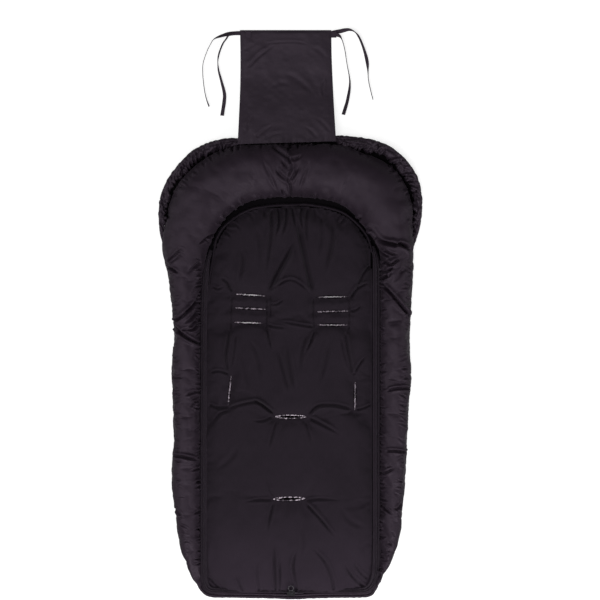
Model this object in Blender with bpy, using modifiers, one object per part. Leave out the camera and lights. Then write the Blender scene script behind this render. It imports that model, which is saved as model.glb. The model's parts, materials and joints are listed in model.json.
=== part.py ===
"""Stroller footmuff: the padded base half, lying on its back, with the zip-off front cover removed.

Metres. +Z points up out of the child's side, +Y runs to the hood and the back flap, and +X is on the
right seen from above. The origin is the bottom centre of the whole piece.
"""

import math

import bmesh
import bpy
from mathutils import Matrix, Vector

# Fabrics and running gaps
CLEARANCE = 0.0003
SHELL_FABRIC = 0.0015
COVER_FABRIC = 0.0010
CUT_OVERRUN = 0.004
QUARTER_TURN = math.pi / 2

# Outline of the body
BODY_LENGTH = 0.9065
HOOD_WIDTH = 0.5136
SEAM_WIDTH = 0.3516
FOOT_CORNER_RADIUS = 0.035
WIDEST_SHARE = 0.8425
# Sides: how far out across the bolster, and how far up the body from the foot
SIDE_SHARES = (
    (0.010, 0.0270), (0.214, 0.0595), (0.358, 0.0923), (0.456, 0.1243), (0.552, 0.1894), (0.612, 0.2545),
    (0.660, 0.4167), (0.673, 0.5788), (0.782, 0.7081), (0.830, 0.7620), (0.975, 0.8055), (1.000, 0.8425),
)
# Hood: across half the hood's width, and up from its widest line to its top
HOOD_SHARES = ((0.974, 0.308), (0.882, 0.588), (0.767, 0.794), (0.600, 0.931), (0.409, 0.994), (0.0, 1.0))

# Liner pad
LINER_INSET = 0.0103
LINER_EDGE_HEIGHT = 0.0120
LINER_CROWN_HEIGHT = 0.0220
LINER_SHOULDER = 0.045
LINER_WADDING_GAP = 0.0006
ARCH_START_SHARE = 0.7145
ARCH_RISE = 0.1310
ARCH_EXPONENT = 2.3

# Bolsters and hood
BOLSTER_HEIGHT = 0.050
BOLSTER_TIP_REACH = 0.0427
HOOD_HEIGHT = 0.066
PUFF_EXPONENT = 2.3
JUNCTION_INNER_RISE = 0.056
JUNCTION_OUTER_SHARE = 0.7634
TUCK_WIDTH = 0.022
TUCK_DRAW_IN = 0.004
# Quilting tucks along each bolster from its tip: place, and how much of the height each takes away
LEFT_TUCK_SHARES = ((0.19, 0.20), (0.34, 0.34), (0.47, 0.18), (0.72, 0.34), (0.95, 0.24))
RIGHT_TUCK_SHARES = ((0.21, 0.22), (0.35, 0.26), (0.53, 0.28), (0.78, 0.30), (0.95, 0.30))
HOOD_END_SHARE = 0.74
HOOD_SEAM_SHARE = 0.62
TIP_HEIGHT_SHARE = 0.34

# Gathered hem round the hood, with its elastic
HEM_WIDTH = 0.018
HEM_HEIGHT = 0.012
HEM_END_SHARE = 0.55
HEM_START_STEP = 0.034
HEM_GATHERS = 22
HEM_GATHER_DEPTH = 0.0012
ELASTIC_RADIUS = 0.0020

# Piping round the liner's arch, and the roll along the foot
PIPING_RADIUS = 0.0030
PIPING_CENTRE_HEIGHT = 0.0100
FOOT_ROLL_RADIUS = 0.0030

# Harness slots: places from the foot end, and their bound lips
SLOT_LENGTH = 0.060
SLOT_OPENING = 0.0060
LIP_WALL = 0.0018
LIP_RISE = 0.0012
SHOULDER_SLOT_REACH = 0.5363
SHOULDER_SLOT_STEP = 0.0273
SHOULDER_SLOT_SPREAD = 0.160
SHOULDER_SLOT_ROWS = 3
WAIST_SLOT_REACH = 0.4007
WAIST_SLOT_SPREAD = 0.246
CROTCH_SLOT_REACH = 0.3542
LEG_SLOT_REACH = 0.1931

# Zip half left on the body when the front cover is off
ZIP_FOOT_INSET = 0.0070
ZIP_CORNER_RADIUS = 0.032
ZIP_TOP_STEP = 0.0017
TAPE_WIDTH = 0.016
TAPE_THICKNESS = 0.0008
TAPE_HEIGHT = 0.0129
TEETH_WIDTH = 0.0034
TEETH_THICKNESS = 0.0030
TOOTH_PITCH = 0.006
TOOTH_DEPTH = 0.0014
STOP_LENGTH = 0.004

# Slider, its box and pin, and the ring pull
SLIDER_LENGTH = 0.015
SLIDER_NOSE_WIDTH = 0.0100
SLIDER_TAIL_WIDTH = 0.0080
SLIDER_PLATE = 0.0012
SLIDER_WALL = 0.0030
BRIDGE_WIDTH = 0.0030
BRIDGE_BAR = 0.0012
BRIDGE_WINDOW_WIDTH = 0.0044
BRIDGE_WINDOW_HEIGHT = 0.0024
ZIP_BOX_LENGTH = 0.005
ZIP_PIN_LENGTH = 0.011
ZIP_PIN_RADIUS = 0.0012
PULL_WIRE_RADIUS = 0.0007
PULL_EYE_WIDTH = 0.0062
PULL_EYE_REACH = 0.0056
RING_RADIUS = 0.0050
RING_WIRE_RADIUS = 0.0009
PULL_REST_ANGLE = math.radians(12)

# Back flap, hinged where it is sewn to the hem
FLAP_LENGTH = 0.2026
FLAP_TOP_WIDTH = 0.1784
FLAP_ROOT_WIDTH = 0.1910
FLAP_FABRIC = 0.0004
PANEL_SETBACK = 0.0015
CASING_DEPTH = 0.020
ROOT_LAP = 0.0165
ROOT_FABRIC = 0.0012
TACK_WIDTH = 0.010
TACK_LENGTH = 0.012

# Tie tails: woven tape laid on the surface. Route points go from the flap's end corner to the bare end;
# across and along are measured from that corner, and height from the surface.
TIE_WIDTH = 0.0095
TIE_THICKNESS = 0.0010
TIE_STEP = 0.009
LEFT_OUTER_ROUTE = (
    (-0.0005, -0.0052, 0.0034), (-0.0108, -0.0052, 0.0034), (-0.0258, -0.0060, 0.0032),
    (-0.0438, -0.0100, 0.0030), (-0.0608, -0.0187, 0.0030), (-0.0708, -0.0317, 0.0020),
    (-0.0763, -0.0452, 0.0012), (-0.0833, -0.0643, 0.0012), (-0.0843, -0.0858, 0.0012),
    (-0.0813, -0.1152, 0.0012), (-0.0769, -0.1372, 0.0012), (-0.0719, -0.1505, 0.0012),
)
LEFT_INNER_ROUTE = (
    (-0.0005, -0.0052, 0.0050), (-0.0108, -0.0052, 0.0052), (-0.0228, -0.0070, 0.0054),
    (-0.0343, -0.0134, 0.0054), (-0.0428, -0.0237, 0.0048), (-0.0493, -0.0377, 0.0030),
    (-0.0536, -0.0542, 0.0020), (-0.0536, -0.0760, 0.0012), (-0.0480, -0.0996, 0.0012),
    (-0.0426, -0.1231, 0.0012), (-0.0424, -0.1432, 0.0012), (-0.0464, -0.1682, 0.0012),
)
RIGHT_OUTER_ROUTE = (
    (0.0005, -0.0052, 0.0034), (0.0108, -0.0052, 0.0034), (0.0258, -0.0052, 0.0032),
    (0.0388, -0.0092, 0.0026), (0.0483, -0.0192, 0.0026), (0.0538, -0.0342, 0.0014),
    (0.0603, -0.0609, 0.0012), (0.0631, -0.0968, 0.0012), (0.0668, -0.1182, 0.0012),
    (0.0721, -0.1368, 0.0012), (0.0768, -0.1532, 0.0012),
)
RIGHT_INNER_ROUTE = (
    (0.0005, -0.0052, 0.0050), (0.0078, -0.0052, 0.0052), (0.0148, -0.0092, 0.0054),
    (0.0198, -0.0182, 0.0054), (0.0223, -0.0312, 0.0048), (0.0233, -0.0482, 0.0026),
    (0.0248, -0.0752, 0.0014), (0.0264, -0.1015, 0.0012), (0.0248, -0.1232, 0.0012),
    (0.0208, -0.1452, 0.0012), (0.0137, -0.1682, 0.0012),
)

# Facets
CURVE_STEPS = 6
OUTLINE_POINTS = 72
ARC_STEPS = 8
PUFF_ACROSS = 7
BOLSTER_ALONG = 36
HOOD_ALONG = 16
LINER_ACROSS = 14
LINER_ALONG = 18
HEM_SIDES = 8
PIPING_STEPS = 30
ROUND_SIDES = 8

# Places worked out from the sizes
SEAM_X = SEAM_WIDTH / 2
BOLSTER_REACH = (HOOD_WIDTH - SEAM_WIDTH) / 2
FLAP_LINING_Z = CLEARANCE
FLAP_PANEL_Z = FLAP_LINING_Z + FLAP_FABRIC + CLEARANCE
FLAP_STACK = FLAP_PANEL_Z + FLAP_FABRIC
CASING_Z = FLAP_STACK + CLEARANCE
CASING_TOP = CASING_Z + FLAP_FABRIC
HINGE_OFFSET = CLEARANCE + ROOT_FABRIC + CLEARANCE + FLAP_STACK
TOTAL_LENGTH = BODY_LENGTH + HINGE_OFFSET + FLAP_LENGTH
FOOT_Y = -TOTAL_LENGTH / 2
TOP_Y = FOOT_Y + BODY_LENGTH
HINGE_Y = TOP_Y + HINGE_OFFSET
FLAP_END_Y = HINGE_Y + FLAP_LENGTH
BASE_Z = SHELL_FABRIC + CLEARANCE
WIDEST_Y = FOOT_Y + WIDEST_SHARE * BODY_LENGTH
ARCH_START_Y = FOOT_Y + ARCH_START_SHARE * BODY_LENGTH
LINER_X = SEAM_X - LINER_INSET
LINER_FOOT_Y = FOOT_Y + ZIP_FOOT_INSET + LINER_INSET
LINER_CORNER_RADIUS = ZIP_CORNER_RADIUS - LINER_INSET
LINER_ARCH_RISE = ARCH_RISE - LINER_INSET
ZIP_FOOT_Y = FOOT_Y + ZIP_FOOT_INSET
ZIP_TOP_Y = ARCH_START_Y - ZIP_TOP_STEP
TEETH_Z = TAPE_HEIGHT + (TAPE_THICKNESS - TEETH_THICKNESS) / 2
SLIDER_CENTRE_Y = ZIP_FOOT_Y + TEETH_WIDTH / 2


# Lines
def smooth_line(points, steps):
    """Points along a smooth curve that passes through every given point."""
    line = []
    for i in range(len(points) - 1):
        before, start, end, after = (points[max(0, min(len(points) - 1, i + k))] for k in (-1, 0, 1, 2))
        for k in range(steps):
            t = k / steps
            line.append(
                start
                + (end - before) * (t / 2)
                + (before * 2 - start * 5 + end * 4 - after) * (t * t / 2)
                + (start * 3 - before - end * 3 + after) * (t * t * t / 2)
            )
    return line + [points[-1]]


def lengths(line):
    """Distance along the line at each of its points."""
    total = [0.0]
    for a, b in zip(line, line[1:]):
        total.append(total[-1] + (b - a).length)
    return total


def at_length(line, distance):
    """The point that far along the line, and the line's direction there."""
    along = lengths(line)
    i = next((k for k in range(1, len(line) - 1) if along[k] > distance), len(line) - 1)
    step = line[i] - line[i - 1]
    return line[i - 1] + step * ((distance - along[i - 1]) / (along[i] - along[i - 1])), step.normalized()


def evenly(line, count):
    """count + 1 points the same distance apart along the line."""
    whole = lengths(line)[-1]
    return [at_length(line, whole * k / count)[0] for k in range(count + 1)]


def portion(line, start, end):
    """The part of the line between two distances along it."""
    along = lengths(line)
    middle = [p for p, d in zip(line, along) if start < d < end]
    return [at_length(line, start)[0]] + middle + [at_length(line, end)[0]]


def length_at_y(line, y):
    """Distance along the line where it first rises past y."""
    along = lengths(line)
    for i in range(1, len(line)):
        if line[i - 1].y < y <= line[i].y:
            share = (y - line[i - 1].y) / (line[i].y - line[i - 1].y)
            return along[i - 1] + (along[i] - along[i - 1]) * share
    return along[-1]


def moved_in(line, distance, depth):
    """The point that far along the line, moved in to the line's left by depth."""
    point, direction = at_length(line, distance)
    return point + Vector((-direction.y, direction.x, 0)) * depth


def arc(centre, radius, start, end, steps):
    """Points round an arc from one angle to another."""
    turns = [start + (end - start) * k / steps for k in range(steps + 1)]
    return [centre + Vector((math.cos(a), math.sin(a), 0)) * radius for a in turns]


def mirrored(points, side):
    """The points on the given side: 1 keeps them, -1 mirrors them to the left."""
    return [Vector((p.x * side, p.y, p.z)) for p in points]


def smooth_step(share):
    """Eases a share between 0 and 1."""
    share = max(0.0, min(1.0, share))
    return share * share * (3 - 2 * share)


def body_outline():
    """Right half of the body seen from above, from the foot's middle to the hood's top."""
    centre = Vector((SEAM_X - FOOT_CORNER_RADIUS, FOOT_Y + FOOT_CORNER_RADIUS, 0))
    foot = [Vector((0, FOOT_Y, 0)), Vector((centre.x / 2, FOOT_Y, 0))]
    foot += arc(centre, FOOT_CORNER_RADIUS, -QUARTER_TURN, -QUARTER_TURN / 3, 3)
    sides = [Vector((SEAM_X + x * BOLSTER_REACH, FOOT_Y + y * BODY_LENGTH, 0)) for x, y in SIDE_SHARES]
    rise = TOP_Y - WIDEST_Y
    hood = [Vector((x * HOOD_WIDTH / 2, WIDEST_Y + y * rise, 0)) for x, y in HOOD_SHARES]
    return smooth_line(foot + sides + hood, CURVE_STEPS)


def arch(half_width, start_y, rise, steps):
    """Right half of an arch, from its foot at half_width up to its middle."""
    power = 2 / ARCH_EXPONENT
    turns = [QUARTER_TURN * k / steps for k in range(steps + 1)]
    return [
        Vector((half_width * max(0.0, math.cos(a)) ** power, start_y + rise * math.sin(a) ** power, 0))
        for a in turns
    ]


def arch_y(x, half_width, rise):
    """Height up the body of an arch's edge at x."""
    share = min(1.0, abs(x) / half_width)
    return ARCH_START_Y + rise * (1 - share**ARCH_EXPONENT) ** (1 / ARCH_EXPONENT)


def foot_y(x):
    """The liner pad's foot edge, with its rounded corners."""
    beyond = abs(x) - (LINER_X - LINER_CORNER_RADIUS)
    if beyond <= 0:
        return LINER_FOOT_Y
    return LINER_FOOT_Y + LINER_CORNER_RADIUS - math.sqrt(max(0.0, LINER_CORNER_RADIUS**2 - beyond**2))


def zip_line():
    """Outer edge of the teeth: from the foot's middle, round the right corner and up the side."""
    centre = Vector((SEAM_X - ZIP_CORNER_RADIUS, ZIP_FOOT_Y + ZIP_CORNER_RADIUS, 0))
    corner = arc(centre, ZIP_CORNER_RADIUS, -QUARTER_TURN, 0, ARC_STEPS)
    return [Vector((0, ZIP_FOOT_Y, 0))] + corner + [Vector((SEAM_X, ZIP_TOP_Y, 0))]


def liner_top(x, y, drop=0.0):
    """Height of the liner pad's upper face: level under the zip tape, then rising to its crown."""
    inward = min(LINER_X - abs(x), y - foot_y(x), arch_y(x, LINER_X, LINER_ARCH_RISE) - y)
    rise = smooth_step((inward - TAPE_WIDTH / 2) / LINER_SHOULDER)
    return LINER_EDGE_HEIGHT + (LINER_CROWN_HEIGHT - LINER_EDGE_HEIGHT) * rise - drop


# Blender objects
def clear_scene():
    for old in list(bpy.data.objects):
        bpy.data.objects.remove(old, do_unlink=True)


def new_collection(name):
    made = bpy.data.collections.new(name)
    bpy.context.scene.collection.children.link(made)
    return made


def new_material(name, colour, roughness, metallic=0.0):
    made = bpy.data.materials.new(name)
    made.use_nodes = True
    shader = made.node_tree.nodes["Principled BSDF"]
    shader.inputs["Base Color"].default_value = (*colour, 1.0)
    shader.inputs["Roughness"].default_value = roughness
    shader.inputs["Metallic"].default_value = metallic
    return made


def add_object(name, data, finish):
    data.materials.append(new_material(name, *finish))
    made = bpy.data.objects.new(name, data)
    PARTS.objects.link(made)
    return made


def mesh_from(name, bm, smooth=True):
    mesh = bpy.data.meshes.new(name)
    bm.to_mesh(mesh)
    bm.free()
    if smooth:
        mesh.shade_smooth()
    return mesh


def grid_surface(across, along, place):
    """An open sheet whose vertices lie at place(share across, share along), facing up."""
    bm = bmesh.new()
    bmesh.ops.create_grid(bm, x_segments=across, y_segments=along, size=1)
    for v in bm.verts:
        v.co = place((v.co.x + 1) / 2, (v.co.y + 1) / 2)
    bmesh.ops.recalc_face_normals(bm, faces=bm.faces)
    if sum(f.normal.z * f.calc_area() for f in bm.faces) < 0:
        bmesh.ops.reverse_faces(bm, faces=bm.faces)
    return bm


def fabric_cover(name, bm, thickness, finish):
    """A sewn cover: the open sheet thickened inwards."""
    made = add_object(name, mesh_from(name, bm), finish)
    solidify = made.modifiers.new("Fabric", "SOLIDIFY")
    solidify.thickness = thickness
    solidify.offset = -1
    return made


def flat_outline(name, loops, low, thickness, finish):
    """A flat piece cut to one or more closed outlines, the inner ones left open."""
    curve = bpy.data.curves.new(name, "CURVE")
    curve.dimensions = "2D"
    curve.fill_mode = "BOTH"
    curve.extrude = thickness / 2
    for points in loops:
        spline = curve.splines.new("POLY")
        spline.points.add(len(points) - 1)
        for target, point in zip(spline.points, points):
            target.co = (point[0], point[1], 0, 1)
        spline.use_cyclic_u = True
    made = add_object(name, curve, finish)
    made.location.z = low + thickness / 2
    return made


def wire(name, points, radius, sides_resolution, finish, closed=False):
    """A round cord or wire along the points, with capped ends."""
    curve = bpy.data.curves.new(name, "CURVE")
    curve.dimensions = "3D"
    curve.bevel_depth = radius
    curve.bevel_resolution = sides_resolution
    curve.use_fill_caps = True
    spline = curve.splines.new("POLY")
    spline.points.add(len(points) - 1)
    for target, point in zip(spline.points, points):
        target.co = (*point, 1)
    spline.use_cyclic_u = closed
    return add_object(name, curve, finish)


def as_mesh(obj):
    """The curve object as a mesh object of the same name and place, its caps welded on."""
    bpy.context.view_layer.update()
    evaluated = obj.evaluated_get(bpy.context.evaluated_depsgraph_get())
    mesh = bpy.data.meshes.new_from_object(evaluated)
    bm = bmesh.new()
    bm.from_mesh(mesh)
    bmesh.ops.remove_doubles(bm, verts=bm.verts, dist=CLEARANCE / 100)
    bmesh.ops.recalc_face_normals(bm, faces=bm.faces)
    bm.to_mesh(mesh)
    bm.free()
    name, matrix = obj.name, obj.matrix_world.copy()
    bpy.data.objects.remove(obj, do_unlink=True)
    made = bpy.data.objects.new(name, mesh)
    made.matrix_world = matrix
    PARTS.objects.link(made)
    return made


def to_cutter(obj):
    """Keeps a shape that cuts or is joined to another, out of the part itself."""
    PARTS.objects.unlink(obj)
    CUTTERS.objects.link(obj)
    obj.hide_render = True
    obj.display_type = "WIRE"


def combine(obj, other, operation):
    """Cuts the other shape out of the object, or joins the two into one body."""
    step = obj.modifiers.new(other.name, "BOOLEAN")
    step.operation = operation
    step.solver = "EXACT"
    step.object = other


def move_origin(obj, place):
    """Moves a mesh object's origin to the place and leaves its shape where it is."""
    bpy.context.view_layer.update()
    obj.data.transform(Matrix.Translation(-place) @ obj.matrix_world)
    obj.matrix_world = Matrix.Translation(place)


def hang_on(obj, pivot):
    """Parents the object to its joint's pivot and leaves it where it is."""
    bpy.context.view_layer.update()
    obj.parent = pivot
    obj.matrix_parent_inverse = pivot.matrix_world.inverted()


def new_pivot(name, place):
    """An empty on a joint's axis, for the pieces that turn about it."""
    pivot = bpy.data.objects.new(name, None)
    pivot.location = place
    pivot.empty_display_size = CASING_DEPTH
    PARTS.objects.link(pivot)
    return pivot


# Finishes: colour, roughness and metallic value
NYLON = ((0.030, 0.025, 0.030), 0.48)
LINER = ((0.018, 0.014, 0.018), 0.92)
DARK_TAPE = ((0.018, 0.015, 0.018), 0.70)
LIP_FLEECE = ((0.270, 0.245, 0.270), 0.95)
WADDING = ((0.720, 0.720, 0.700), 0.98)
ELASTIC = ((0.050, 0.050, 0.050), 0.80)
NICKEL = ((0.420, 0.420, 0.430), 0.28, 1.0)
MOULDED = ((0.020, 0.018, 0.022), 0.40)


# Harness slots
def slot_table():
    """Name, place and direction of every harness slot."""
    table = []
    for side, label in ((-1, "left"), (1, "right")):
        for row in range(SHOULDER_SLOT_ROWS):
            y = FOOT_Y + SHOULDER_SLOT_REACH + row * SHOULDER_SLOT_STEP
            name = f"shoulder_slot_lip_{label}_{row + 1}"
            table.append((name, Vector((side * SHOULDER_SLOT_SPREAD / 2, y, 0)), 0.0))
        waist = Vector((side * WAIST_SLOT_SPREAD / 2, FOOT_Y + WAIST_SLOT_REACH, 0))
        table.append((f"waist_slot_lip_{label}", waist, QUARTER_TURN))
    table.append(("crotch_slot_lip_upper", Vector((0, FOOT_Y + CROTCH_SLOT_REACH, 0)), 0.0))
    table.append(("crotch_slot_lip_lower", Vector((0, FOOT_Y + LEG_SLOT_REACH, 0)), 0.0))
    return table


def slot_loop(centre, turned, margin):
    """A round-ended slot outline, widened by margin all round."""
    radius = SLOT_OPENING / 2 + margin
    reach = (SLOT_LENGTH - SLOT_OPENING) / 2
    steps = ROUND_SIDES // 2
    loop = arc(Vector((reach, 0, 0)), radius, -QUARTER_TURN, QUARTER_TURN, steps)
    loop += arc(Vector((-reach, 0, 0)), radius, QUARTER_TURN, 3 * QUARTER_TURN, steps)
    turn = Matrix.Rotation(turned, 3, "Z")
    return [centre + turn @ p for p in loop]


def slot_cutter():
    """All the slots' outer shapes, as one cutter through the liner pad."""
    depth = LINER_CROWN_HEIGHT + 2 * CUT_OVERRUN
    loops = [slot_loop(place, turned, LIP_WALL + CLEARANCE) for _, place, turned in slot_table()]
    cutter = as_mesh(flat_outline("slot_cutter", loops, -CUT_OVERRUN, depth, LIP_FLEECE))
    to_cutter(cutter)
    return cutter


def slot_lips():
    """The bound lip round every slot, from under the shell up to just over the liner."""
    reach = SLOT_LENGTH / 2 + LIP_WALL
    for name, place, turned in slot_table():
        half = Vector((math.cos(turned), math.sin(turned), 0)) * reach
        top = max(liner_top(p.x, p.y) for p in (place - half, place, place + half)) + LIP_RISE
        loops = [slot_loop(place, turned, LIP_WALL), slot_loop(place, turned, 0)]
        flat_outline(name, loops, CLEARANCE, top - CLEARANCE, LIP_FLEECE)


# Base and liner
def back_shell():
    """The plain back fabric, with a hole for each slot."""
    half = evenly(body_outline(), OUTLINE_POINTS)
    loops = [half + mirrored(half[-2:0:-1], -1)]
    loops += [slot_loop(place, turned, LIP_WALL + CLEARANCE) for _, place, turned in slot_table()]
    flat_outline("back_shell", loops, 0, SHELL_FABRIC, NYLON)


def liner_sheet(inset, drop):
    """The liner pad's upper face with its sides down to the base, drawn in by inset and lowered by drop."""

    def place(s, t):
        x = (LINER_X - inset) * math.sin(QUARTER_TURN * (2 * s - 1))
        shrink = (LINER_X - inset) / LINER_X
        low = foot_y(x / shrink) + inset
        high = arch_y(x / shrink, LINER_X, LINER_ARCH_RISE) - inset
        y = low + (high - low) * (1 - math.cos(math.pi * t)) / 2
        return Vector((x, y, liner_top(x, y, drop)))

    bm = grid_surface(LINER_ACROSS, LINER_ALONG, place)
    rim = [e for e in bm.edges if e.is_boundary]
    side = bmesh.ops.extrude_edge_only(bm, edges=rim)["geom"]
    for v in (g for g in side if isinstance(g, bmesh.types.BMVert)):
        v.co.z = BASE_Z
    bmesh.ops.recalc_face_normals(bm, faces=bm.faces)
    if sum(f.normal.z * f.calc_area() for f in bm.faces) < 0:
        bmesh.ops.reverse_faces(bm, faces=bm.faces)
    return bm


def wadding_panels():
    """Lowest and highest corner of each wadding panel. The wadding stops at every row of slots."""
    half = SLOT_OPENING / 2 + LIP_WALL + CLEARANCE
    shoulder = FOOT_Y + SHOULDER_SLOT_REACH
    lines = [FOOT_Y + LEG_SLOT_REACH, FOOT_Y + CROTCH_SLOT_REACH]
    lines += [shoulder + row * SHOULDER_SLOT_STEP for row in range(SHOULDER_SLOT_ROWS)]
    edges = [FOOT_Y - half] + lines + [TOP_Y + half]
    waist_y = FOOT_Y + WAIST_SLOT_REACH
    waist_x = WAIST_SLOT_SPREAD / 2
    panels = []
    for low_y, high_y in zip(edges, edges[1:]):
        across = [-SEAM_X - half, SEAM_X + half]
        if low_y < waist_y < high_y:
            across[1:1] = [-waist_x, waist_x]
        for low_x, high_x in zip(across, across[1:]):
            low = Vector((low_x + half, low_y + half, 0))
            panels.append((low, Vector((high_x - half, high_y - half, LINER_CROWN_HEIGHT))))
    return panels


def liner(cutter):
    """The quilted liner's cover and the panels of wadding inside it."""
    cover = fabric_cover("liner_cover", liner_sheet(0.0, 0.0), COVER_FABRIC, LINER)
    combine(cover, cutter, "DIFFERENCE")
    gap = COVER_FABRIC + LINER_WADDING_GAP
    for number, (low, high) in enumerate(wadding_panels(), 1):
        bm = liner_sheet(gap, gap)
        bmesh.ops.edgeloop_fill(bm, edges=[e for e in bm.edges if e.is_boundary])
        bmesh.ops.recalc_face_normals(bm, faces=bm.faces)
        name = f"liner_wadding_{number}"
        panel = add_object(name, mesh_from(name, bm), WADDING)
        region = block(f"{name}_region", low, high, WADDING)
        combine(panel, region, "INTERSECT")
        to_cutter(region)


# Puffy rim: bolsters and hood
def rim_lines():
    """Inner seam and outer silhouette of the right half, from the bolster's tip to the hood's middle."""
    outline = body_outline()
    tip_y = FOOT_Y + BOLSTER_TIP_REACH
    outer = portion(outline, length_at_y(outline, tip_y), lengths(outline)[-1])
    inner_x = SEAM_X + CLEARANCE
    inner = [Vector((inner_x, tip_y, 0))] + arch(inner_x, ARCH_START_Y, ARCH_RISE, 2 * ARC_STEPS)
    return inner, outer


def junction_lengths(inner, outer):
    """Where the seam between bolster and hood meets the inner and the outer line."""
    return (
        length_at_y(inner, ARCH_START_Y + JUNCTION_INNER_RISE),
        length_at_y(outer, FOOT_Y + JUNCTION_OUTER_SHARE * BODY_LENGTH),
    )


def hem_start(inner, outer):
    """Distance along the outer line where the hem's tube begins."""
    return junction_lengths(inner, outer)[1] + HEM_START_STEP


def hem_width(inner, outer, distance):
    """Width of the hem at that distance along the outer line, growing from nothing at the junction."""
    start = hem_start(inner, outer)
    ramp = smooth_step((distance - start + HEM_START_STEP) / HEM_START_STEP)
    share = max(0.0, distance - start) / (lengths(outer)[-1] - start)
    return HEM_WIDTH * ramp * (HEM_END_SHARE + (1 - HEM_END_SHARE) * math.sin(QUARTER_TURN * share))


def puff_sheet(inner, outer, heights, inset, side):
    """A half-round puffed sheet between two lines, drawn in by inset."""
    across, along = PUFF_ACROSS, len(heights) - 1

    def place(s, t):
        i = round(t * along)
        start, end = inner[i], outer[i]
        inward = (end - start).normalized() * inset
        start, end = start + inward, end - inward
        turn = math.pi * s
        power = 2 / PUFF_EXPONENT
        reach = (1 - math.copysign(abs(math.cos(turn)) ** power, math.cos(turn))) / 2
        height = (heights[i] - BASE_Z - inset) * max(0.0, math.sin(turn)) ** power
        point = start.lerp(end, reach)
        return Vector((point.x * side, point.y, BASE_Z + height))

    return grid_surface(across, along, place)


def close_puff(bm):
    """Closes a puffed sheet with its flat base and its two ends."""
    low = BASE_Z + CLEARANCE / 10
    ends = [e for e in bm.edges if e.is_boundary and max(v.co.z for v in e.verts) > low]
    groups = []
    while ends:
        group = [ends.pop()]
        grown = True
        while grown:
            near = [e for e in ends if any(set(e.verts) & set(g.verts) for g in group)]
            grown = bool(near)
            group += near
            ends = [e for e in ends if e not in near]
        groups.append(group)
    for group in groups:
        counts = {}
        for edge in group:
            for v in edge.verts:
                counts[v] = counts.get(v, 0) + 1
        bm.edges.new([v for v, n in counts.items() if n == 1])
    for group in groups:
        loose = [e for e in bm.edges if e.is_wire]
        verts = {v for e in group for v in e.verts}
        chord = [e for e in loose if set(e.verts) <= verts]
        bmesh.ops.edgeloop_fill(bm, edges=group + chord)
    bmesh.ops.edgeloop_fill(bm, edges=[e for e in bm.edges if e.is_boundary])
    bmesh.ops.recalc_face_normals(bm, faces=bm.faces)
    return bm


def puff_pair(kind, label, inner, outer, heights, side):
    """A puffed cover and the wadding that fills it."""
    cover = puff_sheet(inner, outer, heights, 0, side)
    fabric_cover(f"{kind}_cover_{label}", cover, COVER_FABRIC, NYLON)
    bm = close_puff(puff_sheet(inner, outer, heights, COVER_FABRIC + LINER_WADDING_GAP, side))
    wadding = f"{kind}_wadding_{label}"
    add_object(wadding, mesh_from(wadding, bm), WADDING)


def tuck(share, table, length):
    """How deep the quilting tucks draw the bolster in at that share of its length."""
    width = TUCK_WIDTH / length
    return sum(depth * math.exp(-(((share - place) / width) ** 2)) for place, depth in table)


def bolster(side, label, table):
    """One side's padded bolster, drawn in at its quilting tucks."""
    inner, outer = rim_lines()
    inner_end, outer_end = junction_lengths(inner, outer)
    length = outer_end
    inner_points = evenly(portion(inner, 0, inner_end - CLEARANCE), BOLSTER_ALONG)
    outer_points = evenly(portion(outer, 0, outer_end - CLEARANCE), BOLSTER_ALONG)
    heights = []
    for i in range(BOLSTER_ALONG + 1):
        share = i / BOLSTER_ALONG
        drawn = tuck(share, table, length)
        inward = (inner_points[i] - outer_points[i]).normalized()
        outer_points[i] = outer_points[i] + inward * (drawn * TUCK_DRAW_IN)
        rise = TIP_HEIGHT_SHARE + (1 - TIP_HEIGHT_SHARE) * smooth_step(share * length / BOLSTER_HEIGHT / 3)
        heights.append(BOLSTER_HEIGHT * rise * (1 - drawn))
    puff_pair("side", label, inner_points, outer_points, heights, side)


def hood(side, label):
    """Half of the padded hood, lower at the junction and at the middle seam."""
    inner, outer = rim_lines()
    inner_start, outer_start = junction_lengths(inner, outer)
    inner_end = lengths(inner)[-1] - CLEARANCE / 2
    inner_points = evenly(portion(inner, inner_start + CLEARANCE, inner_end), HOOD_ALONG)
    whole = lengths(outer)[-1]
    outer_points, heights = [], []
    for i in range(HOOD_ALONG + 1):
        share = i / HOOD_ALONG
        distance = outer_start + CLEARANCE + (whole - outer_start - 3 * CLEARANCE / 2) * share
        width = hem_width(inner, outer, distance)
        outer_points.append(moved_in(outer, distance, width + CLEARANCE * min(1.0, width / CLEARANCE)))
        ends = HOOD_END_SHARE + (1 - HOOD_END_SHARE) * smooth_step(4 * share)
        seam = HOOD_SEAM_SHARE + (1 - HOOD_SEAM_SHARE) * smooth_step(5 * (1 - share))
        heights.append(HOOD_HEIGHT * ends * seam)
    outer_points[-1].x = CLEARANCE / 2
    puff_pair("hood", label, inner_points, outer_points, heights, side)


# Hem, elastic, piping and foot roll
def hem_centre_line(count):
    """Centres, inward directions and half widths along the hem, from the right end to the left."""
    inner, outer = rim_lines()
    start = hem_start(inner, outer)
    whole = lengths(outer)[-1]
    half = []
    for i in range(count // 2 + 1):
        distance = start + (whole - start) * 2 * i / count
        width = hem_width(inner, outer, distance)
        edge = moved_in(outer, distance, 0)
        centre = moved_in(outer, distance, width / 2)
        half.append((centre, (centre - edge).normalized(), width / 2))
    half[-1] = (Vector((0, half[-1][0].y, 0)), Vector((0, -1, 0)), half[-1][2])
    left = [(Vector((-c.x, c.y, 0)), Vector((-n.x, n.y, 0)), w) for c, n, w in half[-2::-1]]
    return half + left


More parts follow.
